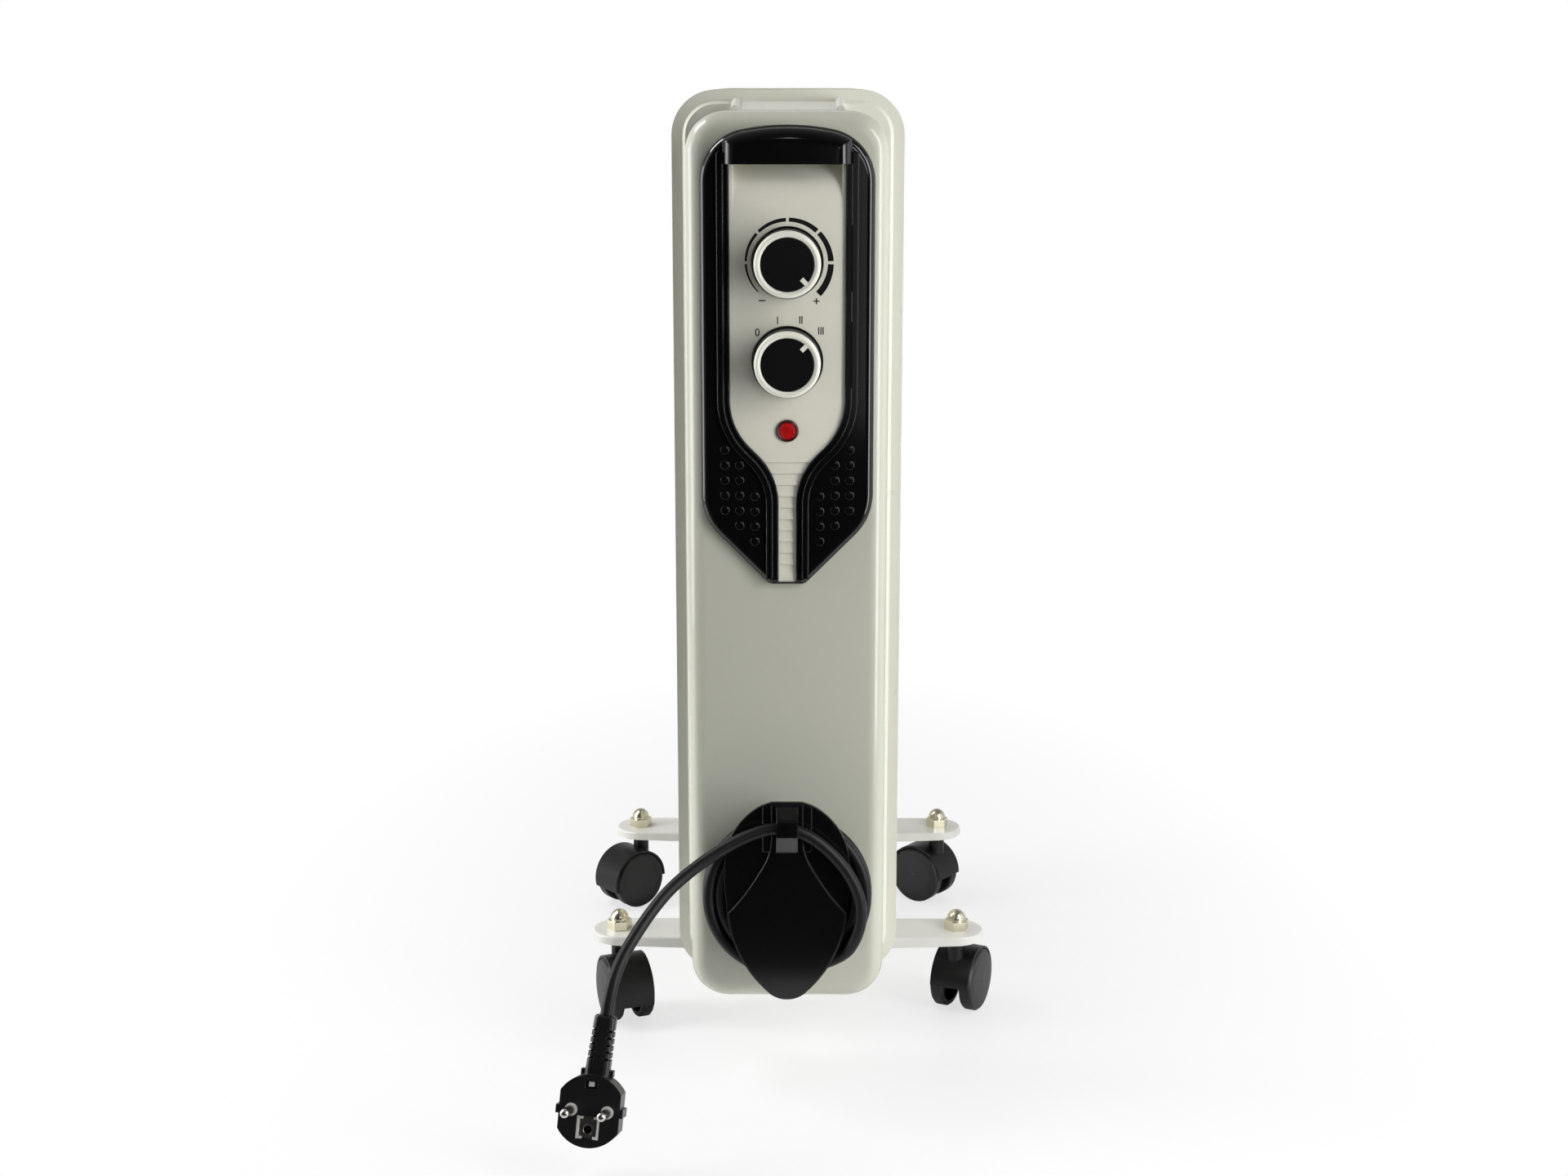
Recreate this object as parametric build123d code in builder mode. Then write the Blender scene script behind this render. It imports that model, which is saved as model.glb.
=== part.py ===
from build123d import *
from math import atan2, cos, pi, radians, sin, tan
import os

# Oil filled radiator heater: seven pressed steel fins on two leg plates with twin-wheel casters, and a control box
# in front of the first fin. Millimetres. The origin is on the floor under the middle of the heater: +X is the
# heater's right as seen from the front, +Y runs from the control box to the last fin, +Z is up.

os.makedirs("parts", exist_ok=True)

# ---------------------------------------------------------------- driving dimensions
# radiator body
fin_count = 7
fin_pitch = 39.3
fin_width = 130.0
fin_height = 519.6
fin_corner = 25.0
fin_bottom = 34.8
first_fin_y = -60.5
sheet = 0.8
rim_width = 5.6
field_height = 3.8
ridge_height = 6.5
ridge_width = 17.0
ridge_spacing = 25.0
ridge_count = 4
header_inset = 41.5
collar_radius = 22.0
header_bore = 17.0
flange_collar = 12.0

# control box
box_width = 107.6
box_top_drop = 10.8
box_bottom = 52.4
box_corner = 21.0
box_depth = 48.0
box_gap = 39.2
box_wall = 2.0
box_edge = 9.0
plate_sheet = 1.2

# bezel and fascia
bezel_width = 92.0
bezel_top_drop = 6.6
bezel_height = 244.0
bezel_side_drop = 29.7
bezel_arch_half = 24.0
bezel_arch_drop = 2.4
bezel_side_height = 177.8
bezel_low_corner = 32.0
bezel_low_half = 9.5
bezel_depth = 5.0
bezel_edge = 4.4
fascia_half = 30.6
fascia_depth = 3.4
tail_half = 4.8
tail_margin = 1.8
shoulder_drop = 158.4
shoulder_height = 25.7
shoulder_outer_radius = 36.0
shoulder_inner_radius = 37.0
bead_inner = 3.2
bead_outer = 6.4
bead_height = 1.6
hood_height = 20.0
hood_half = 33.5
hood_depth = 13.0
hood_wall = 3.0
hood_inset = 1.2
hood_edge = 7.6
window_rise = 9.0
scoop_height = 20.0
scoop_depth = 18.0
step_count = 10
step_pitch = 6.2
step_margin = 65.2
step_relief = 0.9

# knobs, shafts and lamp
thermostat_drop = 71.0
switch_drop = 52.1
lamp_drop = 36.9
knob_radius = 18.0
knob_length = 17.4
knob_cap_radius = 13.9
shaft_radius = 3.0
lens_radius = 6.0

# cord and its holder
cord_diameter = 6.7
drum_z = 121.0
drum_radius = 33.0
cord_layers = 2
cord_columns = 3
shield_sheet = 2.2
shield_raise = 1.6
clip_width = 11.6
gland_z = 81.0

# legs and casters
leg_length = 238.0
leg_width = 34.0
leg_waist = 30.0
leg_sheet = 2.0
leg_flange_end = 4.8
leg_flange_mid = 6.6
stem_inset = 16.2
stem_radius = 4.0
u_rod = 5.0
nut_flats = 13.0
nut_height = 5.5
nut_dome = 6.5
wheel_radius = 19.0
wheel_width = 8.4
caster_trail = 9.8
caster_web = 9.6
caster_top = 50.6
hood_sheet = 1.4
wheel_proud = 1.8
axle_radius = 3.0
trail_angles = {"fl": -68.8, "fr": 64.5, "rl": -139.5, "rr": 143.1}

# plug
plug_centre = (-102.0, -264.5, 39.1)
plug_yaw = 6.0
plug_lean = 18.0
plug_roll = 3.0
boot_tilt = 3.5
plug_depth = 17.0
boot_start = 22.0
boot_end = 49.0
pin_radius = 2.4
pin_length = 19.0
pin_spacing = 19.0
plug_face_radius = 18.75
plug_flat_half = 16.0

# clearances
running = 0.05
clear = 0.3

# ---------------------------------------------------------------- places worked out from them
fin_y = [first_fin_y + fin_pitch * i for i in range(fin_count)]
fin_top = fin_bottom + fin_height
fin_mid = fin_bottom + fin_height / 2
low_header = fin_bottom + header_inset
high_header = fin_top - header_inset
leg_top = low_header - collar_radius - clear
leg_y = {"front": fin_y[0] + fin_pitch / 2, "rear": fin_y[-1] - fin_pitch / 2}
box_back = fin_y[0] - sheet - box_gap
box_front = box_back - box_depth
box_top = fin_top - box_top_drop
box_height = box_top - box_bottom
bezel_top = box_top - bezel_top_drop
bezel_low = bezel_top - bezel_height
bezel_side_top = bezel_top - bezel_side_drop
bezel_side_low = bezel_side_top - bezel_side_height
hood_low = bezel_top - hood_height
window_high = hood_low + window_rise
scoop_low = hood_low - scoop_height
thermostat_z = bezel_top - thermostat_drop
switch_z = thermostat_z - switch_drop
lamp_z = switch_z - lamp_drop
shoulder_high = bezel_top - shoulder_drop
shoulder_low = shoulder_high - shoulder_height
tail_low = bezel_low + tail_margin
step_top = tail_low + step_margin
fascia_front = box_front - fascia_depth
bezel_front = box_front - bezel_depth
coil_back = box_front - 2.7
coil_front = coil_back - cord_columns * cord_diameter
shield_back = coil_front - 0.4
cheek_front = shield_back - shield_sheet
neck_front = cheek_front - shield_raise
coil_inner = drum_radius + 0.4
coil_outer = coil_inner + cord_layers * cord_diameter


def facing_front(y):
    """A sketch plane at y with X across and Z up, which extrudes towards the front."""
    return Plane.XZ.offset(-y)


def across(x, y=0.0, z=0.0):
    """A sketch plane at x with its first axis along Y and its second along Z."""
    return Plane(origin=(x, y, z), x_dir=(0, 1, 0), z_dir=(1, 0, 0))


def keep(builder, name):
    """Labels a finished piece and writes it."""
    builder.part.label = name
    export_step(builder.part, f"parts/{name}.step")


# ---------------------------------------------------------------- radiator fins
def make_fin(index):
    """One fin: two pressed sheets welded at the rim, with a raised field, oil ridges and header collars."""
    y = fin_y[index]
    first, last = index == 0, index == fin_count - 1
    with BuildPart() as fin:
        with BuildSketch(facing_front(y)):
            with Locations((0, fin_mid)):
                RectangleRounded(fin_width, fin_height, fin_corner)
        extrude(amount=sheet, both=True)
        with BuildSketch(facing_front(y)):
            with Locations((0, fin_mid)):
                inset = 2 * rim_width
                RectangleRounded(fin_width - inset, fin_height - inset, fin_corner - rim_width)
        extrude(amount=field_height, both=True, taper=30)
        with BuildSketch(facing_front(y)):
            ridge_length = high_header - low_header - 2 * collar_radius - ridge_width
            with Locations((0, fin_mid)):
                with GridLocations(ridge_spacing, 1, ridge_count, 1):
                    SlotOverall(ridge_length, ridge_width, rotation=90)
        extrude(amount=ridge_height, both=True, taper=20)
        # header collars: half a pitch each way, closed bosses at the two ends of the row
        for z in (low_header, high_header):
            front = ridge_height if first else fin_pitch / 2
            if first and z == low_header:
                front = flange_collar
            rear = ridge_height if last else fin_pitch / 2
            with BuildSketch(facing_front(y + rear)):
                with Locations((0, z)):
                    Circle(collar_radius)
            extrude(amount=front + rear)
            open_front = front if not first or z == low_header else front - 2 * sheet
            open_rear = rear - 2 * sheet if last else rear
            with BuildSketch(facing_front(y + open_rear)):
                with Locations((0, z)):
                    Circle(header_bore)
            extrude(amount=open_front + open_rear, mode=Mode.SUBTRACT)
        if last:
            # the filling stub, pinched and welded shut after the oil is in
            with BuildSketch(facing_front(y + ridge_height + 4)):
                with Locations((0, high_header)):
                    Circle(4)
            extrude(amount=4)
    return fin


for fin_index in range(fin_count):
    keep(make_fin(fin_index), f"fin_{fin_index + 1}")

# ---------------------------------------------------------------- heating element in the lower header
flange_front = fin_y[0] - flange_collar
flange_sheet = 3.0
tube_radius = 4.0
tube_half = 8.0
tube_rise = 6.5
tube_end = fin_y[-1] - 14
terminal_tip = box_back - 10

with BuildPart() as element_flange:
    with BuildSketch(facing_front(flange_front)):
        with Locations((0, low_header)):
            Circle(collar_radius)
            with GridLocations(2 * tube_half, 2 * tube_rise, 2, 2):
                Circle(tube_radius, mode=Mode.SUBTRACT)
    extrude(amount=flange_sheet)
keep(element_flange, "element_flange")

with BuildPart() as heating_element:
    for rise in (-tube_rise, tube_rise):
        with BuildLine(Plane.XY.offset(low_header + rise)) as bend:
            start = flange_front - flange_sheet - 3
            Line((-tube_half, start), (-tube_half, tube_end - tube_half))
            RadiusArc((-tube_half, tube_end - tube_half), (tube_half, tube_end - tube_half), tube_half)
            Line((tube_half, tube_end - tube_half), (tube_half, start))
        with BuildSketch(Plane(origin=bend.line @ 0, z_dir=bend.line % 0)):
            Circle(tube_radius)
        sweep(path=bend.line)
    with BuildSketch(facing_front(start)):
        with Locations((0, low_header)):
            with GridLocations(2 * tube_half, 2 * tube_rise, 2, 2):
                Circle(1.6)
    extrude(amount=start - terminal_tip)
keep(heating_element, "heating_element")

# ---------------------------------------------------------------- control box: cover and back plate
boss_x, boss_low, boss_high = box_width / 2 - 9.8, box_bottom + 21.6, box_top - 57.6
boss_radius, screw_radius = 4.0, 1.5
bosses = [(-boss_x, boss_low), (boss_x, boss_low), (-boss_x, boss_high), (boss_x, boss_high)]
window_half = fascia_half + 0.6
window_low = scoop_low - 4
shaft_hole = 6.0
gland_hole = 6.0
holder_screw_z = [drum_z - 20, drum_z + 20]

with BuildPart() as front_cover:
    with BuildSketch(facing_front(box_back)):
        with Locations((0, box_bottom + box_height / 2)):
            RectangleRounded(box_width, box_height, box_corner)
    extrude(amount=box_depth)
    fillet(front_cover.faces().sort_by(Axis.Y)[0].edges(), box_edge)
    offset(amount=-box_wall, openings=front_cover.faces().sort_by(Axis.Y)[-1])
    with BuildSketch(facing_front(box_back - plate_sheet)):
        with Locations(*bosses):
            Circle(boss_radius)
    extrude(amount=box_depth - plate_sheet - box_wall)
    with BuildSketch(facing_front(box_back)):
        with Locations(*bosses):
            Circle(screw_radius + running)
    extrude(amount=12, mode=Mode.SUBTRACT)
    with BuildSketch(facing_front(box_front + box_wall + 1)):
        with Locations((0, (window_low + window_high) / 2)):
            Rectangle(2 * window_half, window_high - window_low)
        with Locations((0, thermostat_z), (0, switch_z)):
            Circle(shaft_hole)
        with Locations((0, lamp_z)):
            Circle(lens_radius)
        with Locations((0, gland_z)):
            Circle(gland_hole)
        with Locations(*[(0, z) for z in holder_screw_z]):
            Circle(screw_radius + clear)
    extrude(amount=box_wall + 2, mode=Mode.SUBTRACT)
keep(front_cover, "front_cover")

vent_width, vent_height, vent_rows = 30.0, 3.0, 4
small_screw = 2.0
bracket_z = [box_bottom + 97.6, high_header - 6]
bracket_holes = [(x, z - 11) for z in bracket_z for x in (-9, 9)]
earth_x, earth_z = -34.0, box_bottom + 57.6
with BuildPart() as back_plate:
    plate_inset = 2 * (box_wall + clear)
    with BuildSketch(facing_front(box_back)):
        with Locations((0, box_bottom + box_height / 2)):
            corner = box_corner - box_wall - clear
            RectangleRounded(box_width - plate_inset, box_height - plate_inset, corner)
        with Locations((0, low_header + 2)):
            RectangleRounded(36, 32, 5, mode=Mode.SUBTRACT)
        with Locations(*bosses):
            Circle(screw_radius + clear, mode=Mode.SUBTRACT)
        with Locations(*bracket_holes, (earth_x, earth_z)):
            Circle(small_screw + running, mode=Mode.SUBTRACT)
        for vent_z in (box_bottom + box_height / 3, box_bottom + 3 * box_height / 4):
            with Locations((0, vent_z)):
                with GridLocations(1, 9, 1, vent_rows):
                    SlotOverall(vent_width, vent_height, mode=Mode.SUBTRACT)
    extrude(amount=plate_sheet)
keep(back_plate, "back_plate")


def make_pan_screw(radius, head, length):
    """A pan-head screw, its seat at the origin and its shank towards the front."""
    with BuildPart() as screw:
        with BuildSketch(across(0)):
            with BuildLine():
                Polyline(
                    (0, 0), (-length, 0), (-length, radius), (0, radius), (0, head), (1.6, head - 0.3),
                    (2.2, head - 1.2), (2.2, 0), close=True,
                )
            make_face()
        revolve(axis=Axis.Y)
    return screw.part


tapping_screw = make_pan_screw(screw_radius, 3.2, 11.0)

with BuildPart() as cover_screws:
    with Locations(*[(x, box_back, z) for x, z in bosses]):
        add(tapping_screw)
    with Locations(*[(0, box_front + box_wall, z) for z in holder_screw_z]):
        add(tapping_screw)
keep(cover_screws, "cover_screws")

# ---------------------------------------------------------------- brackets between the box and the first fin
bracket_half, bracket_sheet, bracket_foot = 15.0, 2.0, 18.0
bracket_front = fin_y[0] - ridge_height
with BuildPart() as standoff_brackets:
    # two pressed Z straps: each has a foot on the fin, a web, and a foot on the back plate
    for z in bracket_z:
        with BuildSketch(across(0)):
            with BuildLine():
                Polyline(
                    (bracket_front, z), (bracket_front, z + bracket_foot),
                    (bracket_front - bracket_sheet, z + bracket_foot),
                    (bracket_front - bracket_sheet, z + bracket_sheet), (box_back, z + bracket_sheet),
                    (box_back, z - bracket_foot), (box_back + bracket_sheet, z - bracket_foot),
                    (box_back + bracket_sheet, z), close=True,
                )
            make_face()
        extrude(amount=bracket_half, both=True)
    with BuildSketch(facing_front(box_back + bracket_sheet)):
        with Locations(*bracket_holes):
            Circle(small_screw + running)
    extrude(amount=bracket_sheet, mode=Mode.SUBTRACT)
keep(standoff_brackets, "standoff_brackets")

bracket_screw = make_pan_screw(small_screw, 4.0, bracket_sheet + plate_sheet + 2)
with BuildPart() as bracket_screws:
    with Locations(*[(x, box_back + bracket_sheet, z) for x, z in bracket_holes]):
        add(bracket_screw)
    with Locations(Location((earth_x, box_back - plate_sheet, earth_z), (0, 0, 180))):
        add(bracket_screw)
keep(bracket_screws, "bracket_screws")

# ---------------------------------------------------------------- bridge over the gap at the top
bridge_half, bridge_rise, bridge_sheet, bridge_flange = 31.0, 3.9, 2.0, 12.0
bridge_rear = fin_y[0] - field_height - clear
bead_radius = 2.4
with BuildPart() as top_bridge:
    with BuildSketch(across(0)):
        with BuildLine():
            low, high = box_top + 0.2, box_top + 0.2 + bridge_rise
            Polyline(
                (box_back, low - bridge_flange), (box_back, low), (bridge_rear, high),
                (bridge_rear, high - bridge_flange), (bridge_rear - bridge_sheet, high - bridge_flange),
                (bridge_rear - bridge_sheet, high - bridge_sheet - 0.4), (box_back + bridge_sheet, low - bridge_sheet),
                (box_back + bridge_sheet, low - bridge_flange), close=True,
            )
        make_face()
    extrude(amount=bridge_half, both=True)
    ridge_line = Edge.make_line((0, box_back, low), (0, bridge_rear, high))
    for side in (-1, 1):
        start = Vector(side * (bridge_half - bead_radius), box_back, low)
        with BuildSketch(Plane(origin=start, z_dir=ridge_line % 0)):
            Circle(bead_radius)
        extrude(amount=ridge_line.length)
keep(top_bridge, "top_bridge")


# ---------------------------------------------------------------- fascia and bezel
def fascia_outline(grow=0.0, low=tail_low, high=window_high):
    """The light fascia's outline: a straight panel, two S shoulders and a narrow tail."""
    wide, narrow = fascia_half + grow, tail_half + grow
    shift = grow * 0.414
    with BuildSketch() as outline:
        with BuildLine():
            FilletPolyline(
                (0, high), (wide, high), (wide, shoulder_high - shift), (narrow, shoulder_low - shift),
                (narrow, low), (0, low), radius=[0.4, shoulder_outer_radius + grow, shoulder_inner_radius - grow, 0.4],
            )
            mirror(about=Plane.YZ)
        make_face()
    return outline.sketch


def bezel_outline(shrink=0.0):
    """The black shield's outline: an arched top, straight sides and two diagonals down to a short foot."""
    half, top = bezel_width / 2 - shrink, bezel_top - shrink
    arch_x, arch_z = bezel_arch_half - shrink * 0.4, bezel_top - bezel_arch_drop - shrink * 0.9
    arch_radius = (arch_x**2 + (top - arch_z) ** 2) / (2 * (top - arch_z))
    slope = atan2(arch_x, arch_radius - (top - arch_z))
    foot_half, foot = bezel_low_half - shrink * 0.4, bezel_low + shrink
    with BuildSketch() as outline:
        with BuildLine():
            ThreePointArc((0, top), (arch_x / 2, top - (top - arch_z) / 4), (arch_x, arch_z))
            TangentArc((arch_x, arch_z), (half, bezel_side_top), tangent=(cos(slope), -sin(slope)))
            FilletPolyline(
                (half, bezel_side_top), (half, bezel_side_low + shrink * 0.4), (foot_half, foot), (0, foot),
                radius=[bezel_low_corner - shrink, 5],
            )
            mirror(about=Plane.YZ)
        make_face()
    return outline.sketch


recess_radius, recess_depth = knob_radius + 1.0, 2.6
with BuildPart() as control_fascia:
    with BuildSketch(facing_front(box_front)):
        add(fascia_outline(high=scoop_low))
    extrude(amount=fascia_depth)
    # the finger scoop: a sheet that curves inwards under the hood
    scoop_back = box_front + scoop_depth
    scoop_sheet = 2.0
    scoop_corner, scoop_top = hood_low + 5, window_high - scoop_sheet - 0.6
    with BuildSketch(across(0)):
        with BuildLine():
            TangentArc((fascia_front, scoop_low), (scoop_back, scoop_corner), tangent=(0, 1))
            Polyline(
                (scoop_back, scoop_corner), (scoop_back, scoop_top), (box_front, scoop_top),
                (box_front, scoop_top + scoop_sheet), (scoop_back + scoop_sheet, scoop_top + scoop_sheet),
                (scoop_back + scoop_sheet, scoop_corner),
            )
            ThreePointArc(
                (scoop_back + scoop_sheet, scoop_corner), (box_front + 8.4, scoop_corner - 13.5),
                (box_front, scoop_low - 3.0),
            )
            Polyline((box_front, scoop_low - 3.0), (fascia_front, scoop_low - 3.0), (fascia_front, scoop_low))
        make_face()
    extrude(amount=fascia_half, both=True)
    # the scoop's two side walls
    for side in (-1, 1):
        with BuildSketch(across(side * (fascia_half - scoop_sheet))):
            with BuildLine():
                TangentArc((fascia_front, scoop_low), (scoop_back, scoop_corner), tangent=(0, 1))
                Polyline(
                    (scoop_back, scoop_corner), (scoop_back, scoop_top), (box_front, scoop_top),
                    (box_front, hood_low - clear), (fascia_front, hood_low - clear), (fascia_front, scoop_low),
                )
            make_face()
        extrude(amount=side * scoop_sheet)
    # recesses for the knobs and holes for the shafts and the lamp
    with BuildSketch(facing_front(fascia_front + recess_depth)):
        with Locations((0, thermostat_z), (0, switch_z)):
            Circle(recess_radius)
    extrude(amount=recess_depth, mode=Mode.SUBTRACT)
    with BuildSketch(facing_front(box_front + 1)):
        with Locations((0, thermostat_z), (0, switch_z)):
            Circle(shaft_hole - 1)
        with Locations((0, lamp_z)):
            Circle(lens_radius - 1.2)
    extrude(amount=fascia_depth + 2, mode=Mode.SUBTRACT)
    with BuildSketch(facing_front(fascia_front + 2.2)):
        with Locations((0, lamp_z)):
            Circle(lens_radius + running)
    extrude(amount=4, mode=Mode.SUBTRACT)
    # the stepped tail: each tile's foot stands proud of the next tile's head
    with BuildSketch(across(0)):
        for step in range(step_count):
            head = step_top - step * step_pitch
            with BuildLine():
                Polyline(
                    (fascia_front - 1, head), (fascia_front + step_relief, head),
                    (fascia_front, head - step_pitch + 0.8), (fascia_front - 1, head - step_pitch + 0.8), close=True,
                )
            make_face()
    extrude(amount=fascia_half, both=True, mode=Mode.SUBTRACT)
keep(control_fascia, "control_fascia")


hood_front = box_front - hood_depth
with BuildPart() as control_bezel:
    with BuildSketch(facing_front(box_front)):
        add(bezel_outline())
    extrude(amount=bezel_depth)
    fillet(control_bezel.faces().sort_by(Axis.Y)[0].edges(), bezel_edge)
    # the bead that follows the fascia's outline
    with BuildSketch(facing_front(bezel_front)):
        add(fascia_outline(bead_outer, low=bezel_low + 4, high=hood_low + 6))
        add(fascia_outline(bead_inner, low=bezel_low, high=hood_low + 8), mode=Mode.SUBTRACT)
    extrude(amount=bead_height)
    # the hood over the finger scoop, rounded at its front and hollow behind
    with BuildSketch(facing_front(box_front)):
        add(bezel_outline(shrink=hood_inset))
        with Locations((0, hood_low)):
            Rectangle(2 * hood_half, 2 * hood_height, align=(Align.CENTER, Align.MIN), mode=Mode.INTERSECT)
    extrude(amount=hood_depth)
    hood_face = control_bezel.faces().sort_by(Axis.Y)[0]
    fillet(hood_face.edges().filter_by(lambda edge: edge.center().Z > hood_low + 1), hood_edge)
    with BuildSketch(facing_front(box_front)):
        with Locations((0, hood_low - 1)):
            pocket_height = window_high - hood_low - 1
            Rectangle(2 * (fascia_half + clear), pocket_height + 1, align=(Align.CENTER, Align.MIN))
    extrude(amount=hood_depth - hood_wall, mode=Mode.SUBTRACT)
    # the window that the fascia fills
    with BuildSketch(facing_front(box_front + 1)):
        add(fascia_outline(clear, high=hood_low))
    extrude(amount=hood_depth, mode=Mode.SUBTRACT)
keep(control_bezel, "control_bezel")

# ---------------------------------------------------------------- knobs, shafts, switches and lamp
body_back = box_front + box_wall
thermostat_size = (30.0, 34.0, 24.0)
switch_size = (30.0, 30.0, 26.0)
knob_front = fascia_front + recess_depth - clear - knob_length
pointer_inner, pointer_width = 10.4, 2.4
cap_depth = 1.2
shaft_tip = knob_front + 4.0
flat_depth = 0.8


def make_knob(z, pointer):
    """A round knob with a rolled front rim, a D bore, and a pointer bar at this many degrees clockwise from the top."""
    back = knob_front + knob_length
    with BuildPart() as knob:
        with BuildSketch(across(0, 0, z)):
            with BuildLine():
                rim = knob_radius
                Polyline((back, 0), (back, rim), (knob_front + 2.0, rim - 0.5))
                ThreePointArc(
                    (knob_front + 2.0, rim - 0.5), (knob_front + 0.3, rim - 1.4), (knob_front, rim - 2.4),
                )
                Polyline(
                    (knob_front, rim - 2.4), (knob_front + 0.6, knob_cap_radius + clear),
                    (knob_front + 0.6 + cap_depth, knob_cap_radius + clear), (knob_front + 0.6 + cap_depth, 0), (back, 0),
                )
            make_face()
        revolve(axis=Axis((0, 0, z), (0, 1, 0)))
        with BuildSketch(facing_front(knob_front + 0.6 + cap_depth)):
            with Locations(Location((0, z), -pointer)):
                with Locations((0, (pointer_inner + knob_cap_radius + 1) / 2)):
                    Rectangle(pointer_width, knob_cap_radius + 1 - pointer_inner)
        extrude(amount=cap_depth + 0.2)
        with BuildSketch(facing_front(back)):
            with Locations((0, z)):
                Circle(shaft_radius + running)
                with Locations((0, shaft_radius - flat_depth + running)):
                    Rectangle(20, 10, align=(Align.CENTER, Align.MIN), mode=Mode.SUBTRACT)
        extrude(amount=back - shaft_tip + 0.2, mode=Mode.SUBTRACT)
    return knob


def make_knob_cap(z, pointer):
    """The flat black disc let into a knob's front, notched round the pointer bar."""
    with BuildPart() as cap:
        with BuildSketch(facing_front(knob_front + 0.6 + cap_depth)):
            with Locations((0, z)):
                Circle(knob_cap_radius)
            with Locations(Location((0, z), -pointer)):
                with Locations((0, (pointer_inner + 20) / 2 - running)):
                    Rectangle(pointer_width + 2 * running, 20 - pointer_inner, mode=Mode.SUBTRACT)
        extrude(amount=cap_depth)
    return cap


def make_shaft(z, depth):
    """A steel control shaft with a D flat where the knob pushes on."""
    with BuildPart() as shaft:
        with BuildSketch(facing_front(body_back + depth)):
            with Locations((0, z)):
                Circle(shaft_radius)
        extrude(amount=body_back + depth - shaft_tip)
        with BuildSketch(facing_front(knob_front + knob_length)):
            with Locations((0, z + shaft_radius - flat_depth)):
                Rectangle(20, 10, align=(Align.CENTER, Align.MIN))
        extrude(amount=30, mode=Mode.SUBTRACT)
    return shaft


def make_control(z, size, terminals):
    """A thermostat or rotary switch: moulded body, threaded neck through the cover, and blade terminals behind."""
    wide, high, deep = size
    with BuildPart() as control:
        with BuildSketch(facing_front(body_back + deep)):
            with Locations((0, z)):
                RectangleRounded(wide, high, 3)
        extrude(amount=deep)
        with BuildSketch(facing_front(body_back)):
            with Locations((0, z)):
                Circle(shaft_hole - 1 - clear)
        extrude(amount=box_wall + 1)
        with BuildSketch(facing_front(body_back + deep + 6)):
            with Locations((0, z)):
                with GridLocations(14, 12, 2, terminals):
                    Rectangle(6.3, 0.8)
        extrude(amount=6)
        with BuildSketch(facing_front(body_back + 6)):
            with Locations((0, z)):
                Circle(shaft_radius + running)
        extrude(amount=30, mode=Mode.SUBTRACT)
    return control


for name, z, pointer, size, terminals in (
    ("thermostat", thermostat_z, 135, thermostat_size, 1),
    ("switch", switch_z, 45, switch_size, 2),
):
    long_name = name if name == "thermostat" else "rotary_switch"
    keep(make_knob(z, pointer), f"{name}_knob")
    keep(make_knob_cap(z, pointer), f"{name}_knob_cap")
    keep(make_shaft(z, 5.7), f"{long_name}_shaft")
    keep(make_control(z, size, terminals), f"{long_name}_body")

lens_front = fascia_front - 1.4
with BuildPart() as indicator_lens:
    with BuildSketch(across(0, 0, lamp_z)):
        with BuildLine():
            Polyline(
                (fascia_front + 2.2, 0), (fascia_front + 2.2, lens_radius), (lens_front + 0.8, lens_radius),
                (lens_front, lens_radius - 1.0), (lens_front, lens_radius - 1.8), (lens_front + 0.7, lens_radius - 2.4),
                (lens_front + 0.2, 0), close=True,
            )
        make_face()
    revolve(axis=Axis((0, 0, lamp_z), (0, 1, 0)))
    with BuildSketch(facing_front(fascia_front + 2.2 + 5)):
        with Locations((0, lamp_z)):
            Circle(lens_radius - 1.2 - clear)
            Circle(lens_radius - 2.4, mode=Mode.SUBTRACT)
    extrude(amount=5)
keep(indicator_lens, "indicator_lens")

bulb_radius, bulb_length = lens_radius - 2.6, 18.0
with BuildPart() as neon_lamp:
    with BuildSketch(facing_front(fascia_front + 2.4 + bulb_length)):
        with Locations((0, lamp_z)):
            Circle(bulb_radius)
    extrude(amount=bulb_length)
    fillet(neon_lamp.faces().sort_by(Axis.Y)[0].edges(), bulb_radius - 0.6)
keep(neon_lamp, "neon_lamp")

# ---------------------------------------------------------------- thermal cut-out and wiring inside the box
cutout_x, cutout_z, cutout_radius, cutout_depth = -26.0, 140.0, 8.0, 9.0
cutout_tab = 6.0
cutout_front = box_back - plate_sheet - cutout_depth
with BuildPart() as thermal_cutout:
    with BuildSketch(facing_front(box_back - plate_sheet)):
        with Locations((cutout_x, cutout_z)):
            Circle(cutout_radius)
    extrude(amount=cutout_depth)
    with BuildSketch(facing_front(cutout_front + 2.8)):
        with Locations((cutout_x, cutout_z)):
            Rectangle(4.8, 2 * (cutout_radius + cutout_tab))
    extrude(amount=0.8)
keep(thermal_cutout, "thermal_cutout")

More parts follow.
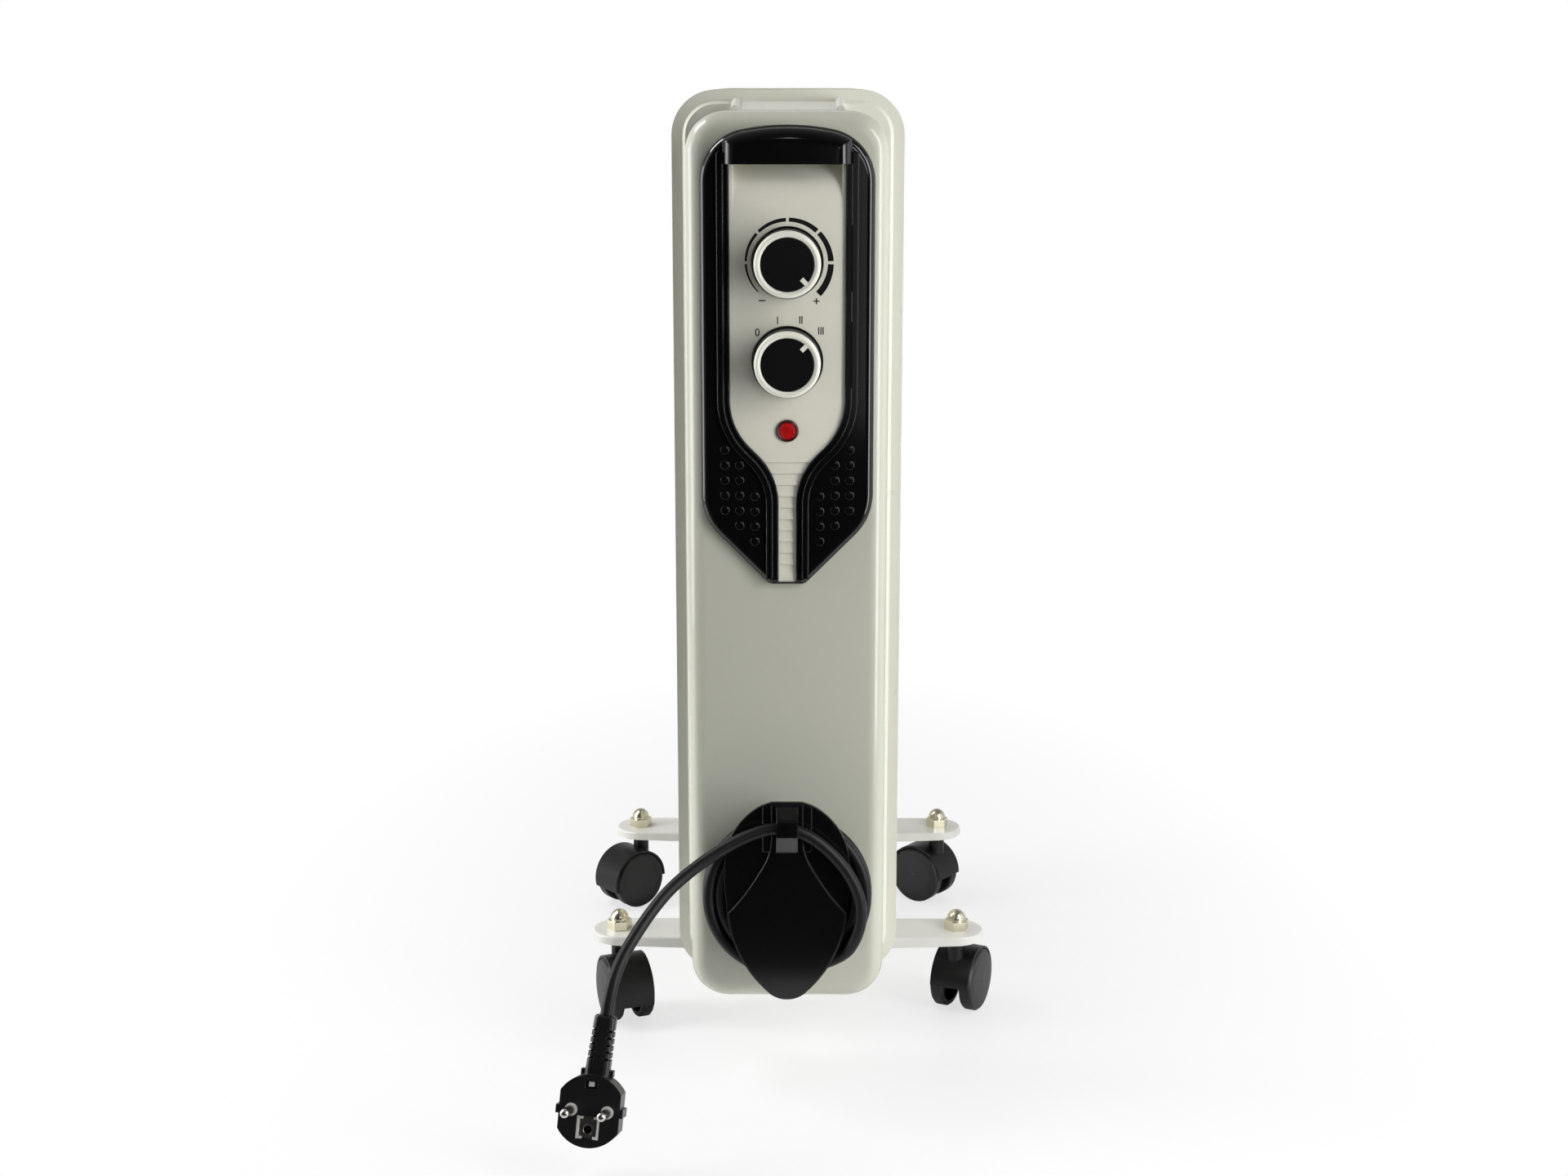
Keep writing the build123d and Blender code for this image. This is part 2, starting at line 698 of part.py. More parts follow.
wire_radius, wire_bend = 1.3, 5.0
stub_end = box_front + box_wall + 8.4
core_x, core_high, core_low = 1.7, 1.0, -2.0
wire_gap = 0.2
wire_y = box_back - plate_sheet - 5
blade_x, blade_rise = 7, 6
tab_y = cutout_front + 2.4
tab_reach = cutout_radius + cutout_tab + wire_gap
thermostat_blades = body_back + thermostat_size[2] + 6 + wire_gap
switch_blades = body_back + switch_size[2] + 6 + wire_gap
wire_start = stub_end + wire_gap
element_tip = terminal_tip - wire_gap
routes = [
    # live core to the cut-out
    [(-core_x, wire_start, gland_z + core_high), (-core_x, wire_start + 10, gland_z + core_high),
     (cutout_x, tab_y, gland_z + 24), (cutout_x, tab_y, cutout_z - tab_reach)],
    # cut-out to the thermostat
    [(cutout_x, tab_y, cutout_z + tab_reach), (cutout_x, tab_y, thermostat_z - 66), (-blade_x, wire_y, thermostat_z - 26),
     (-blade_x, wire_y, thermostat_z), (-blade_x, thermostat_blades, thermostat_z)],
    # thermostat to the switch
    [(blade_x, thermostat_blades, thermostat_z), (blade_x, wire_y, thermostat_z),
     (blade_x, wire_y, switch_z + blade_rise), (blade_x, switch_blades, switch_z + blade_rise)],
    # switch to the element
    [(blade_x, switch_blades, switch_z - blade_rise), (blade_x, wire_y, switch_z - blade_rise),
     (14, wire_y, switch_z - 34), (14, wire_y - 4, low_header + 34), (tube_half, element_tip - 12, low_header + tube_rise),
     (tube_half, element_tip, low_header + tube_rise)],
    # neutral core to the element
    [(core_x, wire_start, gland_z + core_high), (core_x, wire_start + 7, gland_z + core_high),
     (tube_half, element_tip - 9, low_header - tube_rise), (tube_half, element_tip, low_header - tube_rise)],
    # earth core to the screw in the back plate
    [(0, wire_start, gland_z + core_low), (0, wire_start + 7, gland_z + core_low),
     (earth_x, wire_start + 12, gland_z + 6), (earth_x, wire_start + 16, earth_z),
     (earth_x, box_back - plate_sheet - 2.2 - wire_gap, earth_z)],
]
with BuildPart() as wiring:
    for route in routes:
        with BuildLine() as run:
            FilletPolyline(*route, radius=wire_bend)
        with BuildSketch(Plane(origin=run.line @ 0, z_dir=run.line % 0)):
            Circle(wire_radius)
        sweep(path=run.line)
keep(wiring, "wiring")

# ---------------------------------------------------------------- cord: bushing, coil, holder and free end
cord_radius = cord_diameter / 2
with BuildPart() as cord_gland:
    with BuildSketch(across(0, 0, gland_z)):
        with BuildLine():
            inside = box_front + box_wall
            bore, body = cord_radius + running, gland_hole - running
            Polyline(
                (inside + 2, bore), (inside + 2, body + 2), (inside, body + 2), (inside, body),
                (box_front, body), (box_front - 0.6, body - 0.5), (coil_back, body - 0.5), (coil_back, bore),
                close=True,
            )
        make_face()
    revolve(axis=Axis((0, 0, gland_z), (0, 1, 0)))
keep(cord_gland, "cord_gland")

with BuildPart() as cord_coil:
    with BuildSketch(across(0, 0, drum_z)):
        with Locations(((coil_back + coil_front) / 2, (coil_inner + coil_outer) / 2)):
            RectangleRounded(coil_back - coil_front, coil_outer - coil_inner, cord_radius - 0.3)
    revolve(axis=Axis((0, 0, drum_z), (0, 1, 0)))
keep(cord_coil, "cord_coil")

drum_wall, boss_wall = 2.5, 2.5
shield_top, shield_low, shield_half = 177.0, 63.0, 34.4
neck_half, neck_low = 13.3, 149.0
tongue_half, tongue_wide, tongue_high, tongue_low = 8.5, 31.6, 156.7, 114.5
clip_z = 163.4
clip_y = neck_front - clear - cord_radius


def shield_outline():
    """The holder's front: a leaf with its point down and a flat head."""
    with BuildSketch() as outline:
        with BuildLine():
            tip, brow, waist = (9, shield_low + 2.9), (14, shield_top - 2), (shield_half - 0.6, shield_top - 31)
            hip = (shield_half - 1, shield_low + 56)
            RadiusArc((0, shield_low), tip, -15)
            ThreePointArc(tip, (26.1, shield_low + 25.2), hip)
            ThreePointArc(hip, (shield_half, shield_low + 70), waist)
            ThreePointArc(waist, (28.6, shield_top - 16), brow)
            Polyline(brow, (8.3, shield_top), (0, shield_top))
            mirror(about=Plane.YZ)
        make_face()
    return outline.sketch


with BuildPart() as cord_holder:
    with BuildSketch(facing_front(box_front)):
        with Locations((0, drum_z)):
            Circle(drum_radius)
            Circle(drum_radius - drum_wall, mode=Mode.SUBTRACT)
        with Locations(*[(0, z) for z in holder_screw_z]):
            Circle(screw_radius + boss_wall)
    extrude(amount=box_front - shield_back)
    with BuildSketch(facing_front(shield_back)):
        add(shield_outline())
    extrude(amount=shield_sheet)
    # the neck, and the tongue that widens below it over the whole leaf
    with BuildSketch(facing_front(cheek_front)):
        with Locations((0, neck_low)):
            Rectangle(2 * neck_half, shield_top - 2 - neck_low, align=(Align.CENTER, Align.MIN))
    extrude(amount=shield_raise / 2)
    with BuildSketch(facing_front(cheek_front)):
        with BuildLine():
            Polyline((0, shield_top - 1), (tongue_half, shield_top - 1), (tongue_half, tongue_high))
            Spline(
                (tongue_half, tongue_high), (15, 137), (tongue_wide, tongue_low), tangents=[(0, -1), (0.7, -0.7)],
            )
            Polyline((tongue_wide, tongue_low), (50, 96), (50, 0), (0, 0))
            mirror(about=Plane.YZ)
        make_face()
        add(offset(shield_outline(), amount=-0.9, mode=Mode.PRIVATE), mode=Mode.INTERSECT)
    extrude(amount=shield_raise)
    # the clip: an arm over the cord, a front plate and a lip that leads the cord in
    with BuildSketch(across(0)):
        with BuildLine():
            front = clip_y - cord_radius - clear
            Polyline(
                (neck_front + 1, clip_z + 12.1), (front - 0.6, clip_z + 7.1), (front - 2, clip_z + 5.6),
                (front - 2, clip_z - 2.9), (front - 6.0, clip_z - 9.8), (front - 4.8, clip_z - 10.6),
                (front - 0.2, clip_z - 3.4), (front, clip_z + 3.8), (neck_front + 1, clip_z + 7.1), close=True,
            )
        make_face()
    extrude(amount=clip_width / 2, both=True)
    with BuildSketch(facing_front(box_front)):
        with Locations(*[(0, z) for z in holder_screw_z]):
            Circle(screw_radius + running)
    extrude(amount=11.5, mode=Mode.SUBTRACT)
keep(cord_holder, "cord_holder")

# the plug's plane: X to the right across its face, Y up to the boot, Z out of the face along the pins
yaw, lean = radians(plug_yaw), radians(plug_lean)
upright_plug = Plane(
    origin=plug_centre, x_dir=(cos(yaw), -sin(yaw), 0),
    z_dir=(-sin(yaw) * cos(lean), -cos(yaw) * cos(lean), sin(lean)),
)
plug_plane = Plane(upright_plug.location * Location((0, 0, 0), (0, 0, -plug_roll)))
boot_plane = Plane(plug_plane.location * Location((0, 0, -plug_depth / 2), (-90, 0, 0)))
boot_plane = Plane(boot_plane.location * Location((0, 0, 0), (0, boot_tilt, 0)))
boot_entry = [tuple(boot_plane.from_local_coords((0, 0, boot_end + reach))) for reach in (13, 0)]

strand = [
    (31.5, -170.3, 87.2), (37.3, -175.0, 97.5), (40.8, -176.5, 110.0), (40.0, -177.5, 123.0),
    (34.5, -178.5, 137.0), (23.5, clip_y, 151.0), (9.5, clip_y, 161.0), (-5.5, clip_y, clip_z + 1),
    (-20.5, -181.0, 160.6), (-35.6, -185.0, 153.7), (-50.3, -191.5, 145.3), (-62.6, -200.0, 137.0),
    (-71.5, -209.0, 128.5), (-79.8, -218.5, 118.5), (-87.5, -228.5, 107.5), *boot_entry,
]


def tangent_radii(points):
    """The largest equal-share radius at each corner: 0.45 of the shorter run over the tangent of half the turn."""
    radii = []
    for before, corner, after in zip(points, points[1:], points[2:]):
        first, second = Vector(*corner) - Vector(*before), Vector(*after) - Vector(*corner)
        turn = radians(first.get_angle(second))
        radii.append(0.45 * min(first.length, second.length) / tan(turn / 2))
    return radii


strand_radii = tangent_radii(strand)
print("cord bend radii, mm:", [round(radius) for radius in strand_radii])
with BuildPart() as cord_tube:
    with BuildSketch(facing_front(stub_end)):
        with Locations((0, gland_z)):
            Circle(cord_radius)
    extrude(amount=stub_end - coil_back)
    with BuildLine() as strand_run:
        FilletPolyline(*strand, radius=strand_radii)
    with BuildSketch(Plane(origin=strand_run.line @ 0, z_dir=strand_run.line % 0)):
        Circle(cord_radius)
    sweep(path=strand_run.line)
keep(cord_tube, "cord_tube")
tube_length = sum(edge.length for edge in strand_run.edges()) + stub_end - coil_back
tube_volume = pi * cord_radius**2 * tube_length
print("cord tube, mm3:", round(cord_tube.part.volume), "against", round(tube_volume), "by its section")

# ---------------------------------------------------------------- plug on the cord's end
pin_x, pin_y = pin_spacing / 2, 0.2
collar, collar_depth = pin_radius + 0.9, 3.0
slot_pitch, slot_height, slot_root, slot_count = 3.6, 1.2, 2.6, 5
boot_width, boot_thick = 12.6, 10.6
neck_start = 15.0
earth_low, earth_bar, earth_height = -8.4, 5.3, 12.0
bar_sheet, bar_proud = 1.2, 0.3
socket_radius = 2.3
notch_width, notch_low, notch_high = 6.3, 11.5, 15.5

with BuildPart() as plug_body:
    with BuildSketch(plug_plane):
        Circle(plug_face_radius)
        Rectangle(2 * plug_flat_half, 3 * plug_face_radius, mode=Mode.INTERSECT)
    extrude(amount=-plug_depth)
    fillet(plug_body.faces().sort_by(Axis(plug_centre, plug_plane.z_dir))[0].edges(), 4)
    # guide ribs at the two sides, ears at the top and the neck that carries the boot
    with BuildSketch(plug_plane):
        Rectangle(35.3, 4.4)
    extrude(amount=-plug_depth + 5)
    with BuildSketch(plug_plane.offset(-plug_depth / 2)):
        with Locations((0.8, plug_face_radius)):
            Rectangle(17.0, 3.4)
    extrude(amount=-5)
    with BuildSketch(boot_plane.offset(neck_start)):
        RectangleRounded(boot_width, boot_thick, 3)
    extrude(amount=boot_start - neck_start)
    # seats for the pins, the earth contacts and the earth socket
    with BuildSketch(plug_plane):
        with Locations((-pin_x, pin_y), (pin_x, pin_y)):
            Circle(collar + running)
    extrude(amount=-collar_depth, mode=Mode.SUBTRACT)
    with BuildSketch(plug_plane):
        with Locations((0, earth_low)):
            Rectangle(2 * earth_bar + bar_sheet + 2 * running, earth_height)
    extrude(amount=-1.5, mode=Mode.SUBTRACT)
    with BuildSketch(plug_plane.offset(-1)):
        with Locations((0, earth_low - 1)):
            Circle(socket_radius)
    extrude(amount=-9, mode=Mode.SUBTRACT)
    with BuildSketch(plug_plane):
        with Locations((0, (notch_low + notch_high) / 2)):
            Rectangle(notch_width, notch_high - notch_low)
    extrude(amount=-2.5, mode=Mode.SUBTRACT)
keep(plug_body, "plug_body")

with BuildPart() as plug_boot:
    with BuildSketch(boot_plane.offset(boot_start)):
        RectangleRounded(boot_width, boot_thick, 3)
    with BuildSketch(boot_plane.offset(boot_end)):
        RectangleRounded(boot_width - 1.2, boot_thick - 1.6, 3)
    loft()
    slot_low = boot_start + (boot_end - boot_start - slot_pitch * (slot_count - 1)) / 2 - 2
    for slot in range(slot_count):
        with BuildSketch(boot_plane.offset(slot_low + slot * slot_pitch)):
            for side in (-1, 1):
                with Locations((side * (slot_root + 5), 0)):
                    Rectangle(10, 20)
        extrude(amount=slot_height, mode=Mode.SUBTRACT)
    # the web that the ribs stand on
    with BuildSketch(boot_plane.offset(slot_low)):
        Rectangle(boot_width - 2.6, boot_thick - 6)
    extrude(amount=slot_pitch * slot_count)
    fillet(plug_boot.faces().sort_by(Axis(boot_plane.origin, boot_plane.z_dir))[-1].edges(), 1.6)
keep(plug_boot, "plug_boot")

with BuildPart() as plug_pins:
    with BuildSketch(plug_plane.offset(-collar_depth)):
        with Locations((-pin_x, pin_y), (pin_x, pin_y)):
            Circle(collar)
    extrude(amount=collar_depth + 0.4)
    with BuildSketch(plug_plane):
        with Locations((-pin_x, pin_y), (pin_x, pin_y)):
            Circle(pin_radius)
    extrude(amount=pin_length)
    tips = plug_pins.faces().sort_by(Axis(plug_centre, plug_plane.z_dir))[-2:]
    fillet(tips.edges(), pin_radius - 0.3)
keep(plug_pins, "plug_pins")

with BuildPart() as plug_earth_clips:
    # the lower contact: a plate with a socket, and two bars with their ends turned in
    with BuildSketch(plug_plane.offset(-1.5)):
        with Locations((0, earth_low)):
            Rectangle(2 * earth_bar, earth_height - 0.6)
        with Locations((0, earth_low - 1)):
            Circle(socket_radius, mode=Mode.SUBTRACT)
    extrude(amount=0.5)
    with BuildSketch(plug_plane.offset(-1.5)):
        for side in (-1, 1):
            with Locations((side * earth_bar, earth_low)):
                Rectangle(bar_sheet, earth_height - 0.4)
            for end in (-1, 1):
                with Locations((side * (earth_bar - 1), earth_low + end * (earth_height / 2 - 0.9))):
                    Rectangle(bar_sheet + 1.6, 1.2)
    extrude(amount=1.5 + bar_proud)
    # the upper contact, at the back of its notch
    with BuildSketch(plug_plane.offset(-2.5)):
        with Locations((0, notch_high - 1.6)):
            Rectangle(3.0, 2.6)
    extrude(amount=2.0)
keep(plug_earth_clips, "plug_earth_clips")

# ---------------------------------------------------------------- leg plates, U-bolts and nuts
leg_reach = leg_length / 2
stem_spacing = leg_length - 2 * stem_inset
waist_reach = fin_width / 2 - rim_width + 1
u_radius = collar_radius + u_rod / 2 + 0.2
u_low = leg_top - leg_sheet - 12
plate_low = leg_top - leg_sheet
stems = [(side * stem_spacing / 2, y) for y in leg_y.values() for side in (-1, 1)]
u_legs = [(side * u_radius, y) for y in leg_y.values() for side in (-1, 1)]


def leg_outline(inset=0.0):
    """A leg plate from above: a slot with a waist where it passes between two fins."""
    with BuildSketch() as outline:
        SlotOverall(leg_length - 2 * inset, leg_width - 2 * inset)
        cut = (leg_width - leg_waist) / 2 + 2 + inset
        for side in (-1, 1):
            with Locations((0, side * (leg_waist / 2 - inset + cut / 2))):
                RectangleRounded(2 * (waist_reach + 1.5 + inset), cut, 1.5, mode=Mode.SUBTRACT)
    return outline.sketch


def make_leg(y):
    """One leg plate: a pressed channel, deeper in the middle than at its ends."""
    with BuildPart() as leg:
        with BuildSketch(Plane.XY.offset(leg_top)):
            with Locations((0, y)):
                add(leg_outline())
        extrude(amount=-leg_flange_mid)
        fillet(leg.faces().sort_by(Axis.Z)[-1].edges(), 1.4)
        with BuildSketch(Plane.XY.offset(plate_low)):
            with Locations((0, y)):
                add(leg_outline(leg_sheet))
        extrude(amount=-leg_flange_mid, mode=Mode.SUBTRACT)
        with BuildSketch(facing_front(y)):
            for side in (-1, 1):
                with BuildLine():
                    low, high = leg_top - leg_flange_mid - 1, leg_top - leg_flange_end
                    Polyline(
                        (side * waist_reach, low), (side * waist_reach, low + 1), (side * leg_reach, high),
                        (side * (leg_reach + 5), high), (side * (leg_reach + 5), low), close=True,
                    )
                make_face()
        extrude(amount=leg_width, both=True, mode=Mode.SUBTRACT)
        with BuildSketch(Plane.XY.offset(leg_top)):
            with Locations((-stem_spacing / 2, y), (stem_spacing / 2, y)):
                Circle(stem_radius + clear)
            with Locations((-u_radius, y), (u_radius, y)):
                Circle(u_rod / 2 + 0.2)
        extrude(amount=-leg_sheet, mode=Mode.SUBTRACT)
    return leg


for place, y in leg_y.items():
    keep(make_leg(y), f"leg_plate_{place}")

with BuildPart() as u_bolts:
    for y in leg_y.values():
        with BuildLine(facing_front(y)) as bow:
            Line((-u_radius, u_low), (-u_radius, low_header))
            ThreePointArc((-u_radius, low_header), (0, low_header + u_radius), (u_radius, low_header))
            Line((u_radius, low_header), (u_radius, u_low))
        with BuildSketch(Plane(origin=bow.line @ 0, z_dir=bow.line % 0)):
            Circle(u_rod / 2)
        sweep(path=bow.line)
keep(u_bolts, "u_bolts")

wing_hub, wing_depth, wing_span, wing_sheet = 5.0, 5.0, 10.5, 1.8
with BuildPart() as wing_nuts:
    with BuildSketch(Plane.XY.offset(plate_low)):
        with Locations(*u_legs):
            Circle(wing_hub)
    extrude(amount=-wing_depth)
    for x, y in u_legs:
        with BuildSketch(facing_front(y)):
            for side in (-1, 1):
                with Locations((x + side * 7, plate_low - 5.5)):
                    SlotOverall(9.5, 6, rotation=side * -60)
        extrude(amount=wing_sheet / 2, both=True)
    with BuildSketch(Plane.XY.offset(plate_low)):
        with Locations(*u_legs):
            Circle(u_rod / 2 + running)
    extrude(amount=-20, mode=Mode.SUBTRACT)
keep(wing_nuts, "wing_nuts")

with BuildPart() as acorn_nuts:
    with BuildSketch(Plane.XY.offset(leg_top)):
        with Locations(*stems):
            RegularPolygon(nut_flats / 2, 6, major_radius=False, rotation=12)
    extrude(amount=nut_height)
    for x, y in stems:
        with BuildSketch(Plane(origin=(x, y, leg_top + nut_height), x_dir=(1, 0, 0), z_dir=(0, -1, 0))):
            with BuildLine():
                dome = nut_flats / 2 - 0.9
                Line((0, 0), (dome, 0))
                Line((dome, 0), (dome, nut_dome - dome))
                RadiusArc((dome, nut_dome - dome), (0, nut_dome), -dome)
                Line((0, nut_dome), (0, 0))
            make_face()
        revolve(axis=Axis((x, y, 0), (0, 0, 1)))
    with BuildSketch(Plane.XY.offset(leg_top)):
        with Locations(*stems):
            Circle(stem_radius + running)
    extrude(amount=8.6, mode=Mode.SUBTRACT)
keep(acorn_nuts, "acorn_nuts")

stem_low, stem_high = 34.0, leg_top + 8
with BuildPart() as caster_stems:
    with BuildSketch(Plane.XY.offset(stem_low)):
        with Locations(*stems):
            Circle(stem_radius)
    extrude(amount=stem_high - stem_low)
    with BuildSketch(Plane.XY.offset(plate_low - 1)):
        with Locations(*stems):
            Circle(stem_radius + 2)
    extrude(amount=1)
keep(caster_stems, "caster_stems")

# ---------------------------------------------------------------- casters, drawn once about the stem and trailing along +X
axle = (caster_trail, wheel_radius)
web_gap = 0.8
wheel_in = caster_web / 2 + web_gap
hood_inner = wheel_radius + 0.5
hood_outer = hood_inner + hood_sheet
hood_half_width = wheel_in + wheel_width - wheel_proud
hood_from, hood_span = -15, 195
axle_half = wheel_in + wheel_width - 2.2

with BuildPart() as caster_hood:
    with BuildSketch(facing_front(0)):
        with BuildLine():
            rim = CenterArc(axle, hood_outer, hood_from, hood_span)
            lining = CenterArc(axle, hood_inner, hood_from, hood_span)
            Line(rim @ 0, lining @ 0)
            Line(rim @ 1, lining @ 1)
        make_face()
    extrude(amount=hood_half_width, both=True)
    # the web between the wheels, the axle boss and the stem's boss
    with BuildSketch(facing_front(0)):
        with BuildLine():
            rim = CenterArc(axle, hood_inner + 0.2, hood_from, hood_span)
            Line(rim @ 0, rim @ 1)
        make_face()
        with Locations(axle):
            Circle(7.5)
    extrude(amount=caster_web / 2, both=True)
    with BuildSketch(Plane.XY.offset(stem_low - 3)):
        Circle(stem_radius + 1.2)
    extrude(amount=caster_top - stem_low + 3)
    with BuildSketch(Plane.XY.offset(stem_low - 1)):
        Circle(stem_radius + running)
    extrude(amount=30, mode=Mode.SUBTRACT)
    with BuildSketch(facing_front(0)):
        with Locations(axle):
            Circle(axle_radius + 0.02)
    extrude(amount=caster_web, both=True, mode=Mode.SUBTRACT)

with BuildPart() as caster_axle:
    with BuildSketch(facing_front(0)):
        with Locations(axle):
            Circle(axle_radius)
    extrude(amount=axle_half, both=True)

with BuildPart() as caster_wheel:
    with BuildSketch(Plane(origin=(axle[0], 0, axle[1]), x_dir=(1, 0, 0), z_dir=(0, 0, 1))):
        with BuildLine():
            out, bore = wheel_in + wheel_width, axle_radius + running
            Polyline(
                (0, out), (13, out - 0.3), (wheel_radius - 1.1, out - 0.8), (wheel_radius, out - 2),
                (wheel_radius, wheel_in + 1), (wheel_radius - 0.8, wheel_in), (wheel_radius - 3, wheel_in),
                (wheel_radius - 3, out - 3.1), (6, out - 3.1), (6, wheel_in), (bore, wheel_in),
                (bore, axle_half + 0.4), (0, axle_half + 0.4), close=True,
            )
        make_face()
    revolve(axis=Axis((axle[0], 0, axle[1]), (0, 1, 0)))

for (corner, angle), (x, y) in zip(trail_angles.items(), stems):
    place = Location((x, y, 0), (0, 0, angle))
    for name, shape in (
        ("hood", caster_hood.part), ("axle", caster_axle.part),
        ("wheel_left", caster_wheel.part), ("wheel_right", mirror(caster_wheel.part, about=Plane.XZ)),
    ):
        piece = place * shape
        piece.label = f"caster_{corner}_{name}"
        export_step(piece, f"parts/{piece.label}.step")
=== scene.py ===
import math

import bmesh
import bpy
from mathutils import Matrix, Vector


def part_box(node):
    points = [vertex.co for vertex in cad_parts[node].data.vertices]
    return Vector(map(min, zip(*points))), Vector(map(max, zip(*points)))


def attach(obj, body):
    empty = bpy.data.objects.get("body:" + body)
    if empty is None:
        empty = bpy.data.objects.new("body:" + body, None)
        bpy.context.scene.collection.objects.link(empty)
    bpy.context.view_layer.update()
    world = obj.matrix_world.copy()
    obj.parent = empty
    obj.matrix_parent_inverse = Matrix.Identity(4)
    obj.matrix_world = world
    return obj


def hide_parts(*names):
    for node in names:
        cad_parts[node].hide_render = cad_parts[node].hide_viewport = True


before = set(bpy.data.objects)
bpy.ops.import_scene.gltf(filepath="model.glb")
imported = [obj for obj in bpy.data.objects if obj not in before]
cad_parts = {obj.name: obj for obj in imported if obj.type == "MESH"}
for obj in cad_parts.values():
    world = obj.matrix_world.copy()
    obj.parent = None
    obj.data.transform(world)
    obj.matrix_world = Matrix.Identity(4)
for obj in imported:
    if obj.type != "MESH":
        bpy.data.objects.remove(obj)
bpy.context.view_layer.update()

# Where the heater is looked at from: a little above its top, square on to the control box, with a long lens,
# so that the tall narrow front fills the height and the two rows of casters show on either side of it.
look_down, turned_left = 12.552, 0.283
view_from = bpy.data.cameras.new("front_view")
view_from.lens = 52.33
view_from.sensor_width = 36.0
front_view = bpy.data.objects.new("front_view", view_from)
front_view.location = (0.00416, -1.3551, 0.5592)
front_view.rotation_euler = (math.radians(90 - look_down), 0.0, math.radians(turned_left))
bpy.context.scene.collection.objects.link(front_view)
bpy.context.scene.camera = front_view

# The mains lead: round three core flexible cord with a matt black rubber jacket, 6.7 mm thick and 1.5 m long.
# It comes out of the cover behind the holder, is wound five times round the holder's drum, goes up through the
# clip and down again, and holds the plug just clear of the floor in front of the left casters.
lead_thick = 0.0067
lead_exit = (0.0, -0.1512, 0.081)
lead_route = [lead_exit, (0.0, -0.1528, 0.0811), (0.0012, -0.1541, 0.0813)]
drum_middle = (0.0, 0.121)
back_row, middle_row, front_row = -0.15475, -0.16125, -0.16775
inner_turn, outer_turn = 0.03685, 0.04330
turn_order = [
    (inner_turn, back_row),
    (inner_turn, middle_row),
    (outer_turn, middle_row),
    (inner_turn, front_row),
    (outer_turn, front_row),
]
points_per_turn = 16
step_angle = 2 * math.pi / points_per_turn
crossing_angle = 1.5 * step_angle
polygon_swell = 1 / math.cos(math.pi / points_per_turn)
slack_height, slack_waves = 0.00018, 2.3
angle = math.radians(14)
last_angle = 2 * math.pi * len(turn_order) + math.radians(22)
while angle < last_angle:
    turn = min(int(angle / (2 * math.pi)), len(turn_order) - 1)
    radius, row = turn_order[turn]
    past = angle - 2 * math.pi * turn
    if turn and past < crossing_angle:
        before_radius, before_row = turn_order[turn - 1]
        share = 0.5 + 0.5 * past / crossing_angle
        radius = before_radius + (radius - before_radius) * share
        row = before_row + (row - before_row) * share
    if turn:
        radius += slack_height * math.sin(slack_waves * angle)
    radius *= polygon_swell
    lead_route.append((drum_middle[0] + radius * math.sin(angle), row, drum_middle[1] - radius * math.cos(angle)))
    angle += step_angle
lead_route += [
    (0.0315, -0.1703, 0.0872),
    (0.0373, -0.1750, 0.0975),
    (0.0408, -0.1765, 0.1100),
    (0.0400, -0.1775, 0.1230),
    (0.0345, -0.1785, 0.1370),
    (0.0235, -0.17915, 0.1510),
    (0.0095, -0.17915, 0.1618),
    (-0.0055, -0.17915, 0.1650),
    (-0.0205, -0.1810, 0.1610),
    (-0.0356, -0.1850, 0.1539),
    (-0.0503, -0.1915, 0.1454),
    (-0.0626, -0.2000, 0.1370),
    (-0.0715, -0.2090, 0.1285),
    (-0.0798, -0.2185, 0.1185),
    (-0.0875, -0.2285, 0.1075),
    (-0.09219, -0.23826, 0.09506),
    (-0.094066, -0.242078, 0.082776),
]
lead_curve = bpy.data.curves.new("mains_lead", "CURVE")
lead_curve.dimensions = "3D"
lead_curve.bevel_depth = lead_thick / 2
lead_curve.bevel_resolution = 6
lead_curve.resolution_u = 5
lead_curve.use_fill_caps = True
lead_line = lead_curve.splines.new("NURBS")
lead_line.points.add(len(lead_route) - 1)
for point, place in zip(lead_line.points, lead_route):
    point.co = (*place, 1.0)
lead_line.use_endpoint_u = True
lead_line.order_u = 3
mains_lead = bpy.data.objects.new("mains_lead", lead_curve)
bpy.context.scene.collection.objects.link(mains_lead)


def moved_range(tree, source, to_min, to_max, from_min=0.0, from_max=1.0):
    """A shader value moved from one range into another."""
    node = tree.nodes.new("ShaderNodeMapRange")
    node.inputs["From Min"].default_value = from_min
    node.inputs["From Max"].default_value = from_max
    node.inputs["To Min"].default_value = to_min
    node.inputs["To Max"].default_value = to_max
    tree.links.new(source, node.inputs["Value"])
    return node.outputs["Result"]


